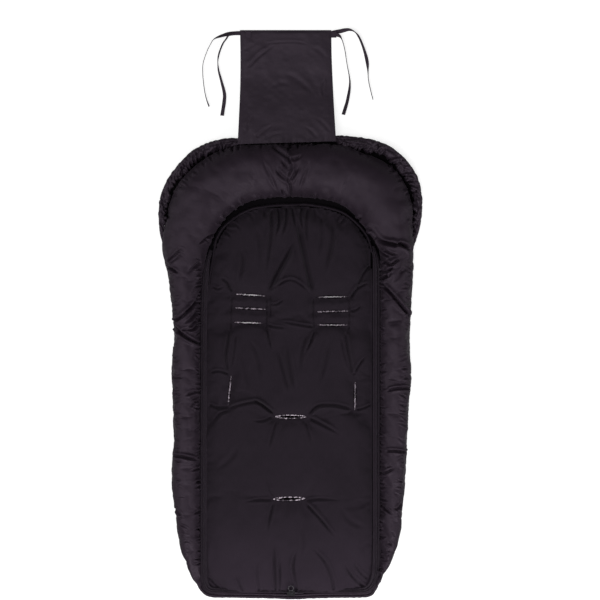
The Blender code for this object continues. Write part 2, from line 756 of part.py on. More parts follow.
def hood_hem():
    """The gathered casing: an open-ended tube with a bore for its elastic."""
    rings = hem_centre_line(2 * HEM_GATHERS)
    middle = BASE_Z + HEM_HEIGHT / 2

    def place(s, t):
        i = round(t * (len(rings) - 1))
        centre, inward, half = rings[i]
        gathered = HEM_GATHER_DEPTH if i % 2 else 0.0
        turn = 2 * math.pi * s
        across = inward * ((half - gathered) * math.cos(turn))
        return centre + across + Vector((0, 0, middle + (HEM_HEIGHT / 2 - gathered) * math.sin(turn)))

    bm = grid_surface(HEM_SIDES, len(rings) - 1, place)
    bmesh.ops.remove_doubles(bm, verts=bm.verts, dist=CLEARANCE / 10)
    bmesh.ops.recalc_face_normals(bm, faces=bm.faces)
    top = max(bm.faces, key=lambda f: f.calc_center_median().z)
    if top.normal.z < 0:
        bmesh.ops.reverse_faces(bm, faces=bm.faces)
    fabric_cover("hood_hem", bm, COVER_FABRIC, NYLON)


def hem_elastic():
    """The round elastic lying in the hem's bore."""
    height = BASE_Z + HEM_GATHER_DEPTH + COVER_FABRIC + 3 * CLEARANCE + ELASTIC_RADIUS
    points = [Vector((c.x, c.y, height)) for c, _, _ in hem_centre_line(2 * HEM_GATHERS)]
    wire("hem_elastic", points, ELASTIC_RADIUS, 1, ELASTIC)


def liner_piping():
    """Piping sewn to the liner pad's edge all round its arch."""
    out = CLEARANCE + PIPING_RADIUS
    right = arch(LINER_X + out, ARCH_START_Y, LINER_ARCH_RISE + out, PIPING_STEPS // 2)
    right = [p + Vector((0, 0, PIPING_CENTRE_HEIGHT)) for p in right]
    wire("liner_piping", right + mirrored(right[-2::-1], -1), PIPING_RADIUS, 1, NYLON)


def foot_roll():
    """The shell's rolled edge along the foot, from one bolster's tip to the other's."""
    outline = body_outline()
    tip = length_at_y(outline, FOOT_Y + BOLSTER_TIP_REACH) - 2 * FOOT_ROLL_RADIUS
    count = PIPING_STEPS // 2
    rise = Vector((0, 0, BASE_Z + FOOT_ROLL_RADIUS))
    right = [moved_in(outline, tip * k / count, FOOT_ROLL_RADIUS) + rise for k in range(count + 1)]
    wire("foot_roll", mirrored(right[:0:-1], -1) + right, FOOT_ROLL_RADIUS, 1, NYLON)


# Zip
def zip_tape(side, label, start):
    """One half of the zip's tape, from the foot's middle round the corner and up the side."""
    line = zip_line()
    outer_depth = TEETH_WIDTH + CLEARANCE
    edge = portion(line, start, lengths(line)[-1])
    marks = lengths(edge)
    outer = [moved_in(line, start + d, outer_depth) for d in marks]
    inner = [moved_in(line, start + d, TAPE_WIDTH) for d in marks]
    loop = mirrored(outer + inner[::-1], side)
    flat_outline(f"zip_tape_{label}", [loop], TAPE_HEIGHT, TAPE_THICKNESS, DARK_TAPE)


def zip_teeth(side, label, start):
    """One row of interlocking teeth, pointing out of the tape's edge."""
    line = zip_line()
    end = lengths(line)[-1] - STOP_LENGTH - CLEARANCE
    count = int((end - start) / TOOTH_PITCH)
    pitch = (end - start) / count
    points = []
    for k in range(count):
        points.append(moved_in(line, start + pitch * k, CLEARANCE + TOOTH_DEPTH))
        points.append(moved_in(line, start + pitch * (k + 1 / 2), CLEARANCE))
    points.append(moved_in(line, end, CLEARANCE + TOOTH_DEPTH))
    back = portion(line, start, end)
    marks = lengths(back)
    points += [moved_in(line, start + d, TEETH_WIDTH) for d in marks[::-1]]
    bm = bmesh.new()
    row = bm.faces.new([bm.verts.new(p + Vector((0, 0, TEETH_Z))) for p in mirrored(points, side)])
    raised = bmesh.ops.extrude_face_region(bm, geom=[row])["geom"]
    corners = [g for g in raised if isinstance(g, bmesh.types.BMVert)]
    bmesh.ops.translate(bm, vec=Vector((0, 0, TEETH_THICKNESS)), verts=corners)
    bmesh.ops.recalc_face_normals(bm, faces=bm.faces)
    name = f"zip_teeth_{label}"
    add_object(name, mesh_from(name, bm, smooth=False), MOULDED)


def block(name, low, high, finish):
    """A plain rectangular piece between two corners."""
    bm = bmesh.new()
    bmesh.ops.create_cube(bm, size=1)
    size, centre = high - low, (low + high) / 2
    bmesh.ops.scale(bm, vec=size, verts=bm.verts)
    made = add_object(name, mesh_from(name, bm, smooth=False), finish)
    made.location = centre
    return made


def top_stop(side, label):
    """The stop at the upper end of one row of teeth."""
    inner, outer = SEAM_X - TEETH_WIDTH, SEAM_X - CLEARANCE
    low_x, high_x = sorted((side * inner, side * outer))
    low = Vector((low_x, ZIP_TOP_Y - STOP_LENGTH, TEETH_Z))
    high = Vector((high_x, ZIP_TOP_Y, TEETH_Z + TEETH_THICKNESS))
    block(f"zip_top_stop_{label}", low, high, MOULDED)


def zip_box_and_pin():
    """The retaining box at the end of the left row, and the insertion pin of the right row."""
    low_x = SLIDER_LENGTH / 2 + CLEARANCE
    low = Vector((low_x, ZIP_FOOT_Y + CLEARANCE, TEETH_Z))
    high = Vector((low_x + ZIP_BOX_LENGTH, ZIP_FOOT_Y + TEETH_WIDTH, TEETH_Z + TEETH_THICKNESS))
    block("zip_retaining_box", low, high, MOULDED)
    start = high.x + CLEARANCE
    height = TEETH_Z + TEETH_THICKNESS / 2
    ends = [Vector((x, SLIDER_CENTRE_Y, height)) for x in (start, start + ZIP_PIN_LENGTH)]
    wire("zip_insertion_pin", ends, ZIP_PIN_RADIUS, 1, MOULDED)
    return start + ZIP_PIN_LENGTH + CLEARANCE


def zips():
    """Both half tapes with their teeth and stops, and the box and pin beside the slider."""
    pin_end = zip_box_and_pin()
    left_start = CLEARANCE
    for side, label, teeth_start in ((-1, "left", left_start), (1, "right", pin_end)):
        zip_tape(side, label, left_start)
        zip_teeth(side, label, teeth_start)
        top_stop(side, label)


def slider_plate(name, low):
    """One plate of the slider, wider at its nose."""
    back = SLIDER_CENTRE_Y - TEETH_WIDTH / 2 - CLEARANCE - SLIDER_WALL
    half = SLIDER_LENGTH / 2
    shoulder = half / 2
    points = [
        (-half, back), (half, back), (half, back + SLIDER_NOSE_WIDTH), (shoulder, back + SLIDER_NOSE_WIDTH),
        (-shoulder, back + SLIDER_TAIL_WIDTH), (-half, back + SLIDER_TAIL_WIDTH),
    ]
    return as_mesh(flat_outline(name, [points], low, SLIDER_PLATE, NICKEL))


def zip_slider():
    """Two plates joined by a wall beside the teeth, with a bridge on top for the pull."""
    lower_z = TEETH_Z - CLEARANCE - SLIDER_PLATE
    upper_z = TEETH_Z + TEETH_THICKNESS + CLEARANCE
    overlap = SLIDER_PLATE / 2
    slider = slider_plate("zip_slider", upper_z)
    lower = slider_plate("slider_lower_plate", lower_z)
    half = Vector((SLIDER_LENGTH / 2, 0, 0))
    wall_y = ZIP_FOOT_Y - CLEARANCE - SLIDER_WALL
    wall = block(
        "slider_wall",
        Vector((-half.x, wall_y, lower_z + overlap)),
        Vector((half.x, wall_y + SLIDER_WALL, upper_z + overlap)),
        NICKEL,
    )
    top = upper_z + SLIDER_PLATE
    width = BRIDGE_WINDOW_WIDTH / 2
    outside = width + BRIDGE_BAR
    height = BRIDGE_WINDOW_HEIGHT
    points = [
        (-outside, -overlap), (-width, -overlap), (-width, height), (width, height), (width, -overlap),
        (outside, -overlap), (outside, height + BRIDGE_BAR), (-outside, height + BRIDGE_BAR),
    ]
    bridge = flat_outline("slider_bridge", [points], 0, BRIDGE_WIDTH, NICKEL)
    turn = Matrix.Rotation(QUARTER_TURN, 4, "Z") @ Matrix.Rotation(QUARTER_TURN, 4, "X")
    bridge.matrix_world = Matrix.Translation(Vector((0, SLIDER_CENTRE_Y, top))) @ turn
    for piece in (lower, wall, as_mesh(bridge)):
        combine(slider, piece, "UNION")
        to_cutter(piece)
    move_origin(slider, Vector((0, SLIDER_CENTRE_Y, TEETH_Z + TEETH_THICKNESS / 2)))
    return slider, Vector((0, SLIDER_CENTRE_Y, top + BRIDGE_WINDOW_HEIGHT / 2))


def zip_pull(slider, pivot):
    """A wire eye through the bridge with a ring on it, its origin on the hinge axis."""
    half, reach = PULL_EYE_WIDTH / 2, PULL_EYE_REACH
    corner = PULL_WIRE_RADIUS
    right = [(half - corner, 0), (half, corner), (half, reach - corner), (half - corner, reach)]
    left = [(-x, y) for x, y in right[::-1]]
    loop = [Vector((x, y, 0)) for x, y in right + left]
    pull = as_mesh(wire("zip_pull", loop, PULL_WIRE_RADIUS, 2, NICKEL, closed=True))
    bpy.ops.mesh.primitive_torus_add(
        major_radius=RING_RADIUS,
        minor_radius=RING_WIRE_RADIUS,
        major_segments=3 * ROUND_SIDES,
        minor_segments=8,
        location=(0, reach + RING_RADIUS, 0),
    )
    ring = bpy.context.object
    ring.name = "pull_ring"
    for group in list(ring.users_collection):
        group.objects.unlink(ring)
    PARTS.objects.link(ring)
    combine(pull, ring, "UNION")
    to_cutter(ring)
    lean = Matrix.Rotation(PULL_REST_ANGLE, 4, "X")
    for piece in (pull, ring):
        piece.matrix_world = Matrix.Translation(pivot) @ lean @ piece.matrix_world
        hang_on(piece, slider)


# Back flap
def flap_outline(start, end):
    """The flap between two distances from its root edge, narrowing towards its end."""

    def half(distance):
        share = distance / FLAP_LENGTH
        return (FLAP_ROOT_WIDTH + (FLAP_TOP_WIDTH - FLAP_ROOT_WIDTH) * share) / 2

    y = HINGE_Y
    return [(-half(start), y + start), (half(start), y + start), (half(end), y + end), (-half(end), y + end)]


def flap_root():
    """The strip sewn over the hem that the flap hangs from, its turned lower edge next to the hinge line."""
    top = BASE_Z + HEM_HEIGHT + CLEARANCE
    inner, outer = TOP_Y - ROOT_LAP, TOP_Y + CLEARANCE
    low = CLEARANCE
    edge_y = HINGE_Y - FLAP_LINING_Z - FLAP_FABRIC - CLEARANCE / 2
    edge_top = PANEL_SETBACK - CLEARANCE
    points = [
        (inner, top), (outer, top), (outer, low), (edge_y, low), (edge_y, edge_top),
        (outer + ROOT_FABRIC, edge_top), (outer + ROOT_FABRIC, top + ROOT_FABRIC), (inner, top + ROOT_FABRIC),
    ]
    root = flat_outline("flap_root", [points], 0, FLAP_ROOT_WIDTH, NYLON)
    root.matrix_world = Matrix.Rotation(QUARTER_TURN, 4, "Z") @ Matrix.Rotation(QUARTER_TURN, 4, "X")


def back_flap(pivot):
    """Lining, front panel and the strip hemmed across its end, with a bar tack at each end of the strip."""
    setback, end = PANEL_SETBACK, FLAP_LENGTH
    pieces = [
        flat_outline("flap_lining", [flap_outline(0, end)], FLAP_LINING_Z, FLAP_FABRIC, LINER),
        flat_outline("flap_panel", [flap_outline(setback, end)], FLAP_PANEL_Z, FLAP_FABRIC, NYLON),
        flat_outline("flap_casing", [flap_outline(end - CASING_DEPTH, end)], CASING_Z, FLAP_FABRIC, NYLON),
    ]
    for side, label in ((-1, "left"), (1, "right")):
        edge = FLAP_TOP_WIDTH / 2
        low_x, high_x = sorted((side * edge, side * (edge - TACK_WIDTH)))
        low = Vector((low_x, FLAP_END_Y - TACK_LENGTH, CASING_TOP + CLEARANCE))
        high = Vector((high_x, FLAP_END_Y, CASING_TOP + CLEARANCE + 3 * TIE_THICKNESS))
        pieces.append(block(f"tie_tack_{label}", low, high, DARK_TAPE))
    for piece in pieces:
        hang_on(piece, pivot)


def tie(name, side, route, pivot):
    """One tie tail: flat tape swept along its route."""
    corner = Vector((side * FLAP_TOP_WIDTH / 2, FLAP_END_Y, 0))
    line = smooth_line([corner + Vector(p) for p in route], CURVE_STEPS)
    count = round(lengths(line)[-1] / TIE_STEP)
    points = evenly(line, count)
    section = bpy.data.curves.new(f"{name}_section", "CURVE")
    section.dimensions = "2D"
    spline = section.splines.new("POLY")
    spline.points.add(3)
    half, thin = TIE_WIDTH / 2, TIE_THICKNESS / 2
    corners = ((-half, -thin), (-half, thin), (half, thin), (half, -thin))
    for target, (x, y) in zip(spline.points, corners):
        target.co = (x, y, 0, 1)
    spline.use_cyclic_u = True
    guide = bpy.data.objects.new(f"{name}_section", section)
    CUTTERS.objects.link(guide)
    guide.hide_render = True
    guide.display_type = "WIRE"
    made = wire(name, points, 0, 0, DARK_TAPE)
    made.data.twist_mode = "Z_UP"
    made.data.bevel_mode = "OBJECT"
    made.data.bevel_object = guide
    hang_on(made, pivot)


def build():
    cutter = slot_cutter()
    back_shell()
    liner(cutter)
    slot_lips()
    for side, label, table in ((-1, "left", LEFT_TUCK_SHARES), (1, "right", RIGHT_TUCK_SHARES)):
        bolster(side, label, table)
        hood(side, label)
    hood_hem()
    hem_elastic()
    liner_piping()
    foot_roll()
    zips()
    slider, pivot = zip_slider()
    zip_pull(slider, pivot)
    flap_root()
    hinge = new_pivot("flap_hinge", Vector((0, HINGE_Y, 0)))
    back_flap(hinge)
    tie("tie_tail_left_outer", -1, LEFT_OUTER_ROUTE, hinge)
    tie("tie_tail_left_inner", -1, LEFT_INNER_ROUTE, hinge)
    tie("tie_tail_right_outer", 1, RIGHT_OUTER_ROUTE, hinge)
    tie("tie_tail_right_inner", 1, RIGHT_INNER_ROUTE, hinge)


clear_scene()
PARTS = new_collection("stroller_footmuff")
CUTTERS = new_collection("cutters")
build()
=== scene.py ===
"""Stroller footmuff, dressed for a photograph taken from straight above.

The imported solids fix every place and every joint. The classes below dress them in their fabrics: the
puffed hood and bolsters, the brushed liner pad with its harness slots, both halves of the zip, the
gathered hem, the back flap and its ties. Metres, +Z up out of the child's side, +Y towards the hood.
"""

import json
import logging
import math
from collections.abc import Callable, Sequence
from dataclasses import dataclass, field
from enum import Enum
from typing import Any

import bmesh
import bpy
import numpy as np
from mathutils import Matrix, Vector

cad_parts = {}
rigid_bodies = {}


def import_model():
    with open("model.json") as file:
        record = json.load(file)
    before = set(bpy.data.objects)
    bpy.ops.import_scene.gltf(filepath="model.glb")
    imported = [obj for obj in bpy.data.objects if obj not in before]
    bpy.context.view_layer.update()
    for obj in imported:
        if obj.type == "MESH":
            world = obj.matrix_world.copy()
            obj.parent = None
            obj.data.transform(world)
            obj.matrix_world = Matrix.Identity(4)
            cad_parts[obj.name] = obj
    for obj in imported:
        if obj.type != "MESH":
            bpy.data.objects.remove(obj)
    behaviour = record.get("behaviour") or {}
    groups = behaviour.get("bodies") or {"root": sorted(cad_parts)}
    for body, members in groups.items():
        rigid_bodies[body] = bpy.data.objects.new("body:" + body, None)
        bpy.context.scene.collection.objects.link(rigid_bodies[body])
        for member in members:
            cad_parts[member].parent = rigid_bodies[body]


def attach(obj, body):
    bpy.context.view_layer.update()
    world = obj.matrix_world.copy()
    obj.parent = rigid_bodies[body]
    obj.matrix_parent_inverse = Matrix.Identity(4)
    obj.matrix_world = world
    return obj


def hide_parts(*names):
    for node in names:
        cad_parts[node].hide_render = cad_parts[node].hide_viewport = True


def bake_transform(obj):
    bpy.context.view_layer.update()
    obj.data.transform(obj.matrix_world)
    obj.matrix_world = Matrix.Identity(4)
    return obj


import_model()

LOG = logging.getLogger("footmuff")
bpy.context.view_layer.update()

Array = np.ndarray
Line = Sequence[tuple[float, float]]
Waves = Sequence[tuple[float, float, int]]
PlaneWaves = Sequence[tuple[float, float, float, float, int]]
Triple = tuple[float, float, float]
Colour = Triple

# Levels that the fabrics share, above the floor
SHELL_LEVEL = 0.0015
BASE_LEVEL = 0.0018
TAPE_LEVEL = 0.0131

# Least length that a direction is worked out from
TINY = 1e-9
# Steps between two points of a smooth curve, and points along a fold and along a gathered seam
CURVE_STEPS = 40
FOLD_POINTS = 16
SEAM_POINTS = 400
# A fold's reach in widths, the share of its width left at its ends, and its shortest fade
FOLD_REACH = 4.5
FOLD_END = 0.55
LEAST_FADE = 1e-3
# Where a fold's ridges stand and how wide they are, in widths
RIDGE_PLACE = 2.0
RIDGE_WIDTH = 1.15
# A short rod: shares of its length, and of its radius there
ROD_SHAPE = ((0.0, 0.25), (0.16, 0.85), (0.5, 1.0), (0.84, 0.85), (1.0, 0.25))


class Body(Enum):
    """The rigid bodies that pieces ride on."""

    MUFF = "muff"
    FLAP = "flap"


class Slot(Enum):
    """The record's material slots."""

    NYLON = "nylon_shell"
    BACK = "back_fabric"
    LINER = "liner_fleece"
    BINDING = "slot_binding"
    TAPE = "woven_tape"
    MOULDED = "moulded_zip"
    METAL = "zip_metal"


# Places and lines


@dataclass(frozen=True)
class PhotoScale:
    """How the photograph's pixels map onto the muff."""

    metres: float = 0.00196  # Length of one pixel
    column: float = 291.0  # Pixel column over the frame's origin
    row: float = 314.25  # Pixel row over the frame's origin
    pixels: int = 600  # Side of the square picture

    def places(self, points: Line) -> Array:
        """The frame's X and Y for picture points."""
        picture = np.asarray(points, float)
        return (picture - (self.column, self.row)) * (self.metres, -self.metres)

    def picture(self, places: Array) -> list[tuple[float, float]]:
        """Picture points over places on the muff."""
        points = np.asarray(places) / (self.metres, -self.metres) + (self.column, self.row)
        return [(float(column), float(row)) for column, row in points]

    def middle(self) -> Array:
        """X and Y under the middle of the picture."""
        return self.places([(self.pixels / 2, self.pixels / 2)])[0]


PHOTO = PhotoScale()


def catmull(points: Array, at: Array) -> Array:
    """Reads a smooth curve through a few points.

    Args:
        points: The points passed through, one a row.
        at: Places on the curve, counted in points from the first.

    Returns:
        One point a row for each place.
    """
    ends = (2 * points[0] - points[1], 2 * points[-1] - points[-2])
    run = np.vstack([ends[0], points, ends[1]])
    low = np.clip(np.floor(at).astype(int), 0, len(points) - 2)
    t = (at - low)[:, None]
    a, b, c, d = (run[low + step] for step in range(4))
    square, cube = t * t, t * t * t
    return 0.5 * (2 * b + (c - a) * t + (2 * a - 5 * b + 4 * c - d) * square + (3 * b - a - 3 * c + d) * cube)


def travelled(points: Array) -> Array:
    """Distance run along a line of points, at each of them."""
    steps = np.linalg.norm(np.diff(points, axis=0), axis=1)
    return np.concatenate([[0.0], np.cumsum(steps)])


def unit(rows: Array) -> Array:
    """Vectors scaled to length 1."""
    return rows / np.maximum(np.linalg.norm(rows, axis=-1), TINY)[..., None]


def turning(angle: float) -> Array:
    """Matrix that turns rows of X and Y by an angle in radians."""
    return np.array([[math.cos(angle), math.sin(angle)], [-math.sin(angle), math.cos(angle)]])


def read_at(at: Array, run: Array, rows: Array) -> Array:
    """Reads values that are known along a line."""
    return np.column_stack([np.interp(at, run, column) for column in rows.T])


def even(points: Array, count: int) -> Array:
    """Spaces points evenly along a smooth curve.

    Args:
        points: The few points that the curve passes through.
        count: How many points to give back.

    Returns:
        The evenly spaced points, one a row.
    """
    dense = catmull(points, np.linspace(0, len(points) - 1, CURVE_STEPS * len(points)))
    run = travelled(dense)
    return read_at(np.linspace(0, run[-1], count), run, dense)


def sideways(line: Array) -> Array:
    """Unit vectors to the left of a flat line."""
    ahead = unit(np.gradient(line[:, :2], axis=0))
    return np.column_stack([-ahead[:, 1], ahead[:, 0]])


def ease(share: Array) -> Array:
    """Smooth step of a share clipped to 0..1."""
    kept = np.clip(share, 0.0, 1.0)
    return kept * kept * (3 - 2 * kept)


def marked(at: Array, marks: Line) -> Array:
    """Values read between marks, each a place and the value there."""
    return np.interp(at, *np.asarray(marks).T)


def wander(at: Array, length: float, seed: int) -> Array:
    """Smooth random values along a line.

    Args:
        at: Distances along the line, in metres.
        length: How far apart the random values lie.
        seed: Picks the values.

    Returns:
        Values between -1 and 1, one for each distance.
    """
    cells = at / length
    low = np.floor(cells).astype(int)
    values = np.random.default_rng(seed).uniform(-1, 1, int(low.max() - low.min()) + 2)
    first = low - low.min()
    share = ease(cells - low)
    return values[first] * (1 - share) + values[first + 1] * share


def ripples(at: Array, waves: Waves, first: int = 0) -> Array:
    """Smooth random values along a line, of several sizes added."""
    return sum(size * wander(at, length, first + seed) for size, length, seed in waves)


def between(table: Array, column: Array, row: Array, across: Array, up: Array) -> Array:
    """Mixes the four values round each point in a table.

    Args:
        table: Values by column, then by row.
        column: Column before each point.
        row: Row before it.
        across: Its share of the way to the next column.
        up: Its share of the way to the next row.

    Returns:
        The mixed values.
    """
    near = table[column, row] * (1 - across) + table[column + 1, row] * across
    far = table[column, row + 1] * (1 - across) + table[column + 1, row + 1] * across
    return near * (1 - up) + far * up


def wander_over(x: Array, y: Array, length: float, seed: int) -> Array:
    """Smooth random values over a plane.

    Args:
        x: First coordinate of each point.
        y: Second coordinate of each point.
        length: How far apart the random values lie.
        seed: Picks the values.

    Returns:
        Values between -1 and 1, one for each point.
    """
    column, row = x / length, y / length
    left, low = np.floor(column).astype(int), np.floor(row).astype(int)
    across, up = ease(column - left), ease(row - low)
    left, low = left - left.min(), low - low.min()
    values = np.random.default_rng(seed).uniform(-1, 1, (int(left.max()) + 2, int(low.max()) + 2))
    return between(values, left, low, across, up)


def swells(points: Array, waves: PlaneWaves) -> Array:
    """Smooth random values over a plane, of several sizes added."""
    return sum(size * wander_over(points[:, 0] * across, points[:, 1] * up, length, seed)
               for size, across, up, length, seed in waves)


def line_distance(points: Array, line: Array) -> tuple[Array, Array, Array]:
    """How far points lie from a line.

    Args:
        points: X and Y of each point.
        line: X and Y of the line's corners.

    Returns:
        The distance, the side (1 on the left of the line, else -1) and the share of the line run.
    """
    best = np.full(len(points), np.inf)
    side = np.ones(len(points))
    share = np.zeros(len(points))
    run = travelled(line)
    for index in range(len(line) - 1):
        start, step = line[index], line[index + 1] - line[index]
        length = max(float(np.hypot(*step)), TINY)
        off = points - start
        part = np.clip((off @ step) / length**2, 0, 1)
        away = off - part[:, None] * step
        far = np.hypot(away[:, 0], away[:, 1])
        nearer = far < best
        best[nearer] = far[nearer]
        side[nearer] = np.where(step[0] * off[:, 1] - step[1] * off[:, 0] >= 0, 1.0, -1.0)[nearer]
        share[nearer] = ((run[index] + part * length) / run[-1])[nearer]
    return best, side, share


@dataclass(frozen=True)
class Fold:
    """A crease in a fabric, with a soft ridge beside it."""

    line: Line  # Picture points that it runs through
    depth: float  # How far it sinks, in metres
    width: float
    fade: tuple[float, float]  # Shares of its length over which its start and its end die out
    ridge: float = 0.6  # Height of the ridges beside it, as a share of the depth
    lean: float = 0.0  # From -1 to 1, which side's ridge is the higher, 1 for the left

    def lift(self, points: Array) -> Array:
        """Height that the fold adds at points.

        Args:
            points: X and Y of each point.

        Returns:
            The height at each point, below zero in the crease.
        """
        line = even(PHOTO.places(self.line), FOLD_POINTS)
        reach = FOLD_REACH * self.width
        near = np.all((points > line.min(axis=0) - reach) & (points < line.max(axis=0) + reach), axis=1)
        height = np.zeros(len(points))
        if not near.any():
            return height
        distance, side, share = line_distance(points[near], line)
        shares = (share / max(self.fade[0], LEAST_FADE), (1 - share) / max(self.fade[1], LEAST_FADE))
        open_share = ease(shares[0]) * ease(shares[1])
        narrow = self.width * (FOLD_END + (1 - FOLD_END) * open_share)
        crease = np.exp(-((distance / narrow) ** 2))
        from_ridge = (distance - RIDGE_PLACE * narrow) / (RIDGE_WIDTH * narrow)
        ridge = np.exp(-(from_ridge**2)) * (1 + self.lean * side)
        height[near] = self.depth * open_share * (self.ridge * ridge - crease)
        return height


@dataclass(frozen=True)
class Gathers:
    """Small creases where a seam draws its fabric in."""

    line: Line  # Picture points along the seam
    side: float  # 1 where they run to the left of the seam, else -1
    spacing: float = 0.009  # Average distance from one to the next, in metres
    length: tuple[float, float] = (0.006, 0.020)  # Shortest and longest crease, in metres
    depth: tuple[float, float] = (0.0008, 0.0030)  # Shallowest and deepest, in metres
    width: tuple[float, float] = (0.0010, 0.0021)  # Narrowest and widest half width, in metres
    slant: float = 48.0  # Greatest tilt from square to the seam, in degrees
    seed: int = 1  # Picks them
    ends: float = 0.01  # Share of the seam left plain at each end
    bow: float = 0.10  # How much they bend, as a share of their length
    overlap: float = 0.001  # How far they start before the seam
    ridge: float = 0.7  # Height of their ridges, as a share of the depth
    lean: float = 0.6  # The most that one ridge is higher than the other
    fade: tuple[float, float] = (0.06, 0.65)  # Shares of their length over which they die out

    def folds(self) -> list[Fold]:
        """Scatters the creases along the seam.

        Returns:
            The creases.
        """
        dice = np.random.default_rng(self.seed)
        seam = even(PHOTO.places(self.line), SEAM_POINTS)
        run = travelled(seam)
        square = sideways(seam) * self.side
        made = []
        for at in dice.uniform(self.ends, 1 - self.ends, int(run[-1] / self.spacing)) * run[-1]:
            index = int(np.searchsorted(run, at))
            aim = square[index] @ turning(math.radians(dice.uniform(-self.slant, self.slant)))
            reach, bow = dice.uniform(*self.length), dice.normal(0, self.bow)
            steps = np.array([[0.0, 0.0], [0.5, bow], [1.0, 0.0]]) * reach
            places = seam[index] - self.overlap * square[index] + steps[:, :1] * aim
            places += steps[:, 1:] * np.array([-aim[1], aim[0]])
            size = dice.uniform(*self.depth), dice.uniform(*self.width)
            lean = dice.uniform(-self.lean, self.lean)
            made.append(Fold(PHOTO.picture(places), *size, self.fade, self.ridge, lean))
        return made


def folded(points: Array, folds: Sequence[Fold]) -> Array:
    """Height that several folds add together at points."""
    return sum((fold.lift(points) for fold in folds), np.zeros(len(points)))


# Meshes


def grid_faces(rows: int, columns: int, closed: bool = False) -> Array:
    """Faces of a grid of points.

    Args:
        rows: Rows of points.
        columns: Points in a row.
        closed: Joins the end of each row to its start.

    Returns:
        Four point numbers a face.
    """
    across = columns if closed else columns - 1
    row, column = np.meshgrid(np.arange(rows - 1), np.arange(across), indexing="ij")
    following = (column + 1) % columns
    corners = (row * columns + column, row * columns + following)
    far = ((row + 1) * columns + following, (row + 1) * columns + column)
    return np.stack([*corners, *far], axis=-1).reshape(-1, 4)


def new_mesh(name: str, points: Array, faces: Sequence[Sequence[int]]) -> bpy.types.Object:
    """Makes a smooth mesh object.

    Args:
        name: Object name.
        points: One point a row.
        faces: Point numbers of each face.

    Returns:
        The object, linked to the scene.
    """
    mesh = bpy.data.meshes.new(name)
    mesh.from_pydata(np.asarray(points, float).tolist(), [], [list(map(int, face)) for face in faces])
    mesh.validate()
    mesh.shade_smooth()
    made = bpy.data.objects.new(name, mesh)
    bpy.context.scene.collection.objects.link(made)
    return made


def read_points(made: bpy.types.Object) -> Array:
    """Reads an object's mesh points.

    Args:
        made: The object.

    Returns:
        One point a row.
    """
    flat = np.empty(len(made.data.vertices) * 3)
    made.data.vertices.foreach_get("co", flat)
    return flat.reshape(-1, 3)


def read_normals(made: bpy.types.Object) -> Array:
    """Reads an object's mesh normals.

    Args:
        made: The object.

    Returns:
        One normal a point, in the order of its points.
    """
    flat = np.empty(len(made.data.vertices) * 3)
    made.data.vertex_normals.foreach_get("vector", flat)
    return flat.reshape(-1, 3)


def write_points(made: bpy.types.Object, points: Array) -> None:
    """Moves an object's mesh points to new places."""
    made.data.vertices.foreach_set("co", np.ascontiguousarray(points, float).ravel())
    made.data.update()


def turn_outwards(made: bpy.types.Object) -> None:
    """Makes all of a closed mesh's faces look outwards.

    Args:
        made: The object.
    """
    work = bmesh.new()
    work.from_mesh(made.data)
    bmesh.ops.recalc_face_normals(work, faces=work.faces[:])
    work.to_mesh(made.data)
    work.free()


def tube_rings(rings: Array, name: str, capped: bool = True) -> bpy.types.Object:
    """Skins a run of closed rings.

    Args:
        rings: Points by ring, then by place round the ring.
        name: Object name.
        capped: Closes both ends with a face.

    Returns:
        The object.
    """
    count, around = rings.shape[:2]
    faces = grid_faces(count, around, closed=True).tolist()
    if capped:
        faces.append(list(range(around))[::-1])
        faces.append(list(range((count - 1) * around, count * around)))
    made = new_mesh(name, rings.reshape(-1, 3), faces)
    turn_outwards(made)
    return made


def ring_points(line: Array, radius: Array, around: int) -> Array:
    """Rings of points round a centre line.

    Args:
        line: The centre line.
        radius: The radius at each of its points.
        around: Points in a ring.

    Returns:
        Points by ring, then by place round the ring.
    """
    ahead = unit(np.gradient(line, axis=0))
    side = unit(np.cross(ahead, (0.0, 0.0, 1.0)))
    up = np.cross(side, ahead)
    turn = np.linspace(0, 2 * math.pi, around, endpoint=False)
    spread = side[:, None] * np.cos(turn)[None, :, None] + up[:, None] * np.sin(turn)[None, :, None]
    return line[:, None] + spread * np.asarray(radius)[:, None, None]


def round_tube(line: Array, radius: Array, name: str, around: int = 8) -> bpy.types.Object:
    """A round tube along a line in space."""
    return tube_rings(ring_points(line, np.broadcast_to(radius, len(line)), around), name)


def swept(line: Array, across: Array, side: Array, height: Array, name: str) -> bpy.types.Object:
    """Skins closed cross-sections that stand across a line."""
    flat = line[:, None, :2] + across[:, None] * side[:, :, None]
    return tube_rings(np.concatenate([flat, height[:, :, None]], axis=2), name)


def prism(outline: Array, low: float, high: float) -> tuple[Array, list[list[int]]]:
    """Points and faces of an upright prism.

    Args:
        outline: X and Y round it.
        low: Height of its underside.
        high: Height of its top.

    Returns:
        Its points, the underside's first, and its walls followed by both ends.
    """
    count = len(outline)
    points = np.vstack([np.column_stack([outline, np.full(count, level)]) for level in (low, high)])
    walls = [[i, (i + 1) % count, count + (i + 1) % count, count + i] for i in range(count)]
    return points, [*walls, list(range(count))[::-1], list(range(count, 2 * count))]


def joined(name: str, parts: Sequence[tuple[Array, Sequence[Sequence[int]]]]) -> bpy.types.Object:
    """One object from many small meshes.

    Args:
        name: Object name.
        parts: Points and faces of each mesh.

    Returns:
        The object.
    """
    points, faces, total = [], [], 0
    for part_points, part_faces in parts:
        points.append(part_points)
        faces.extend([corner + total for corner in face] for face in part_faces)
        total += len(part_points)
    made = new_mesh(name, np.vstack(points), faces)
    turn_outwards(made)
    return made


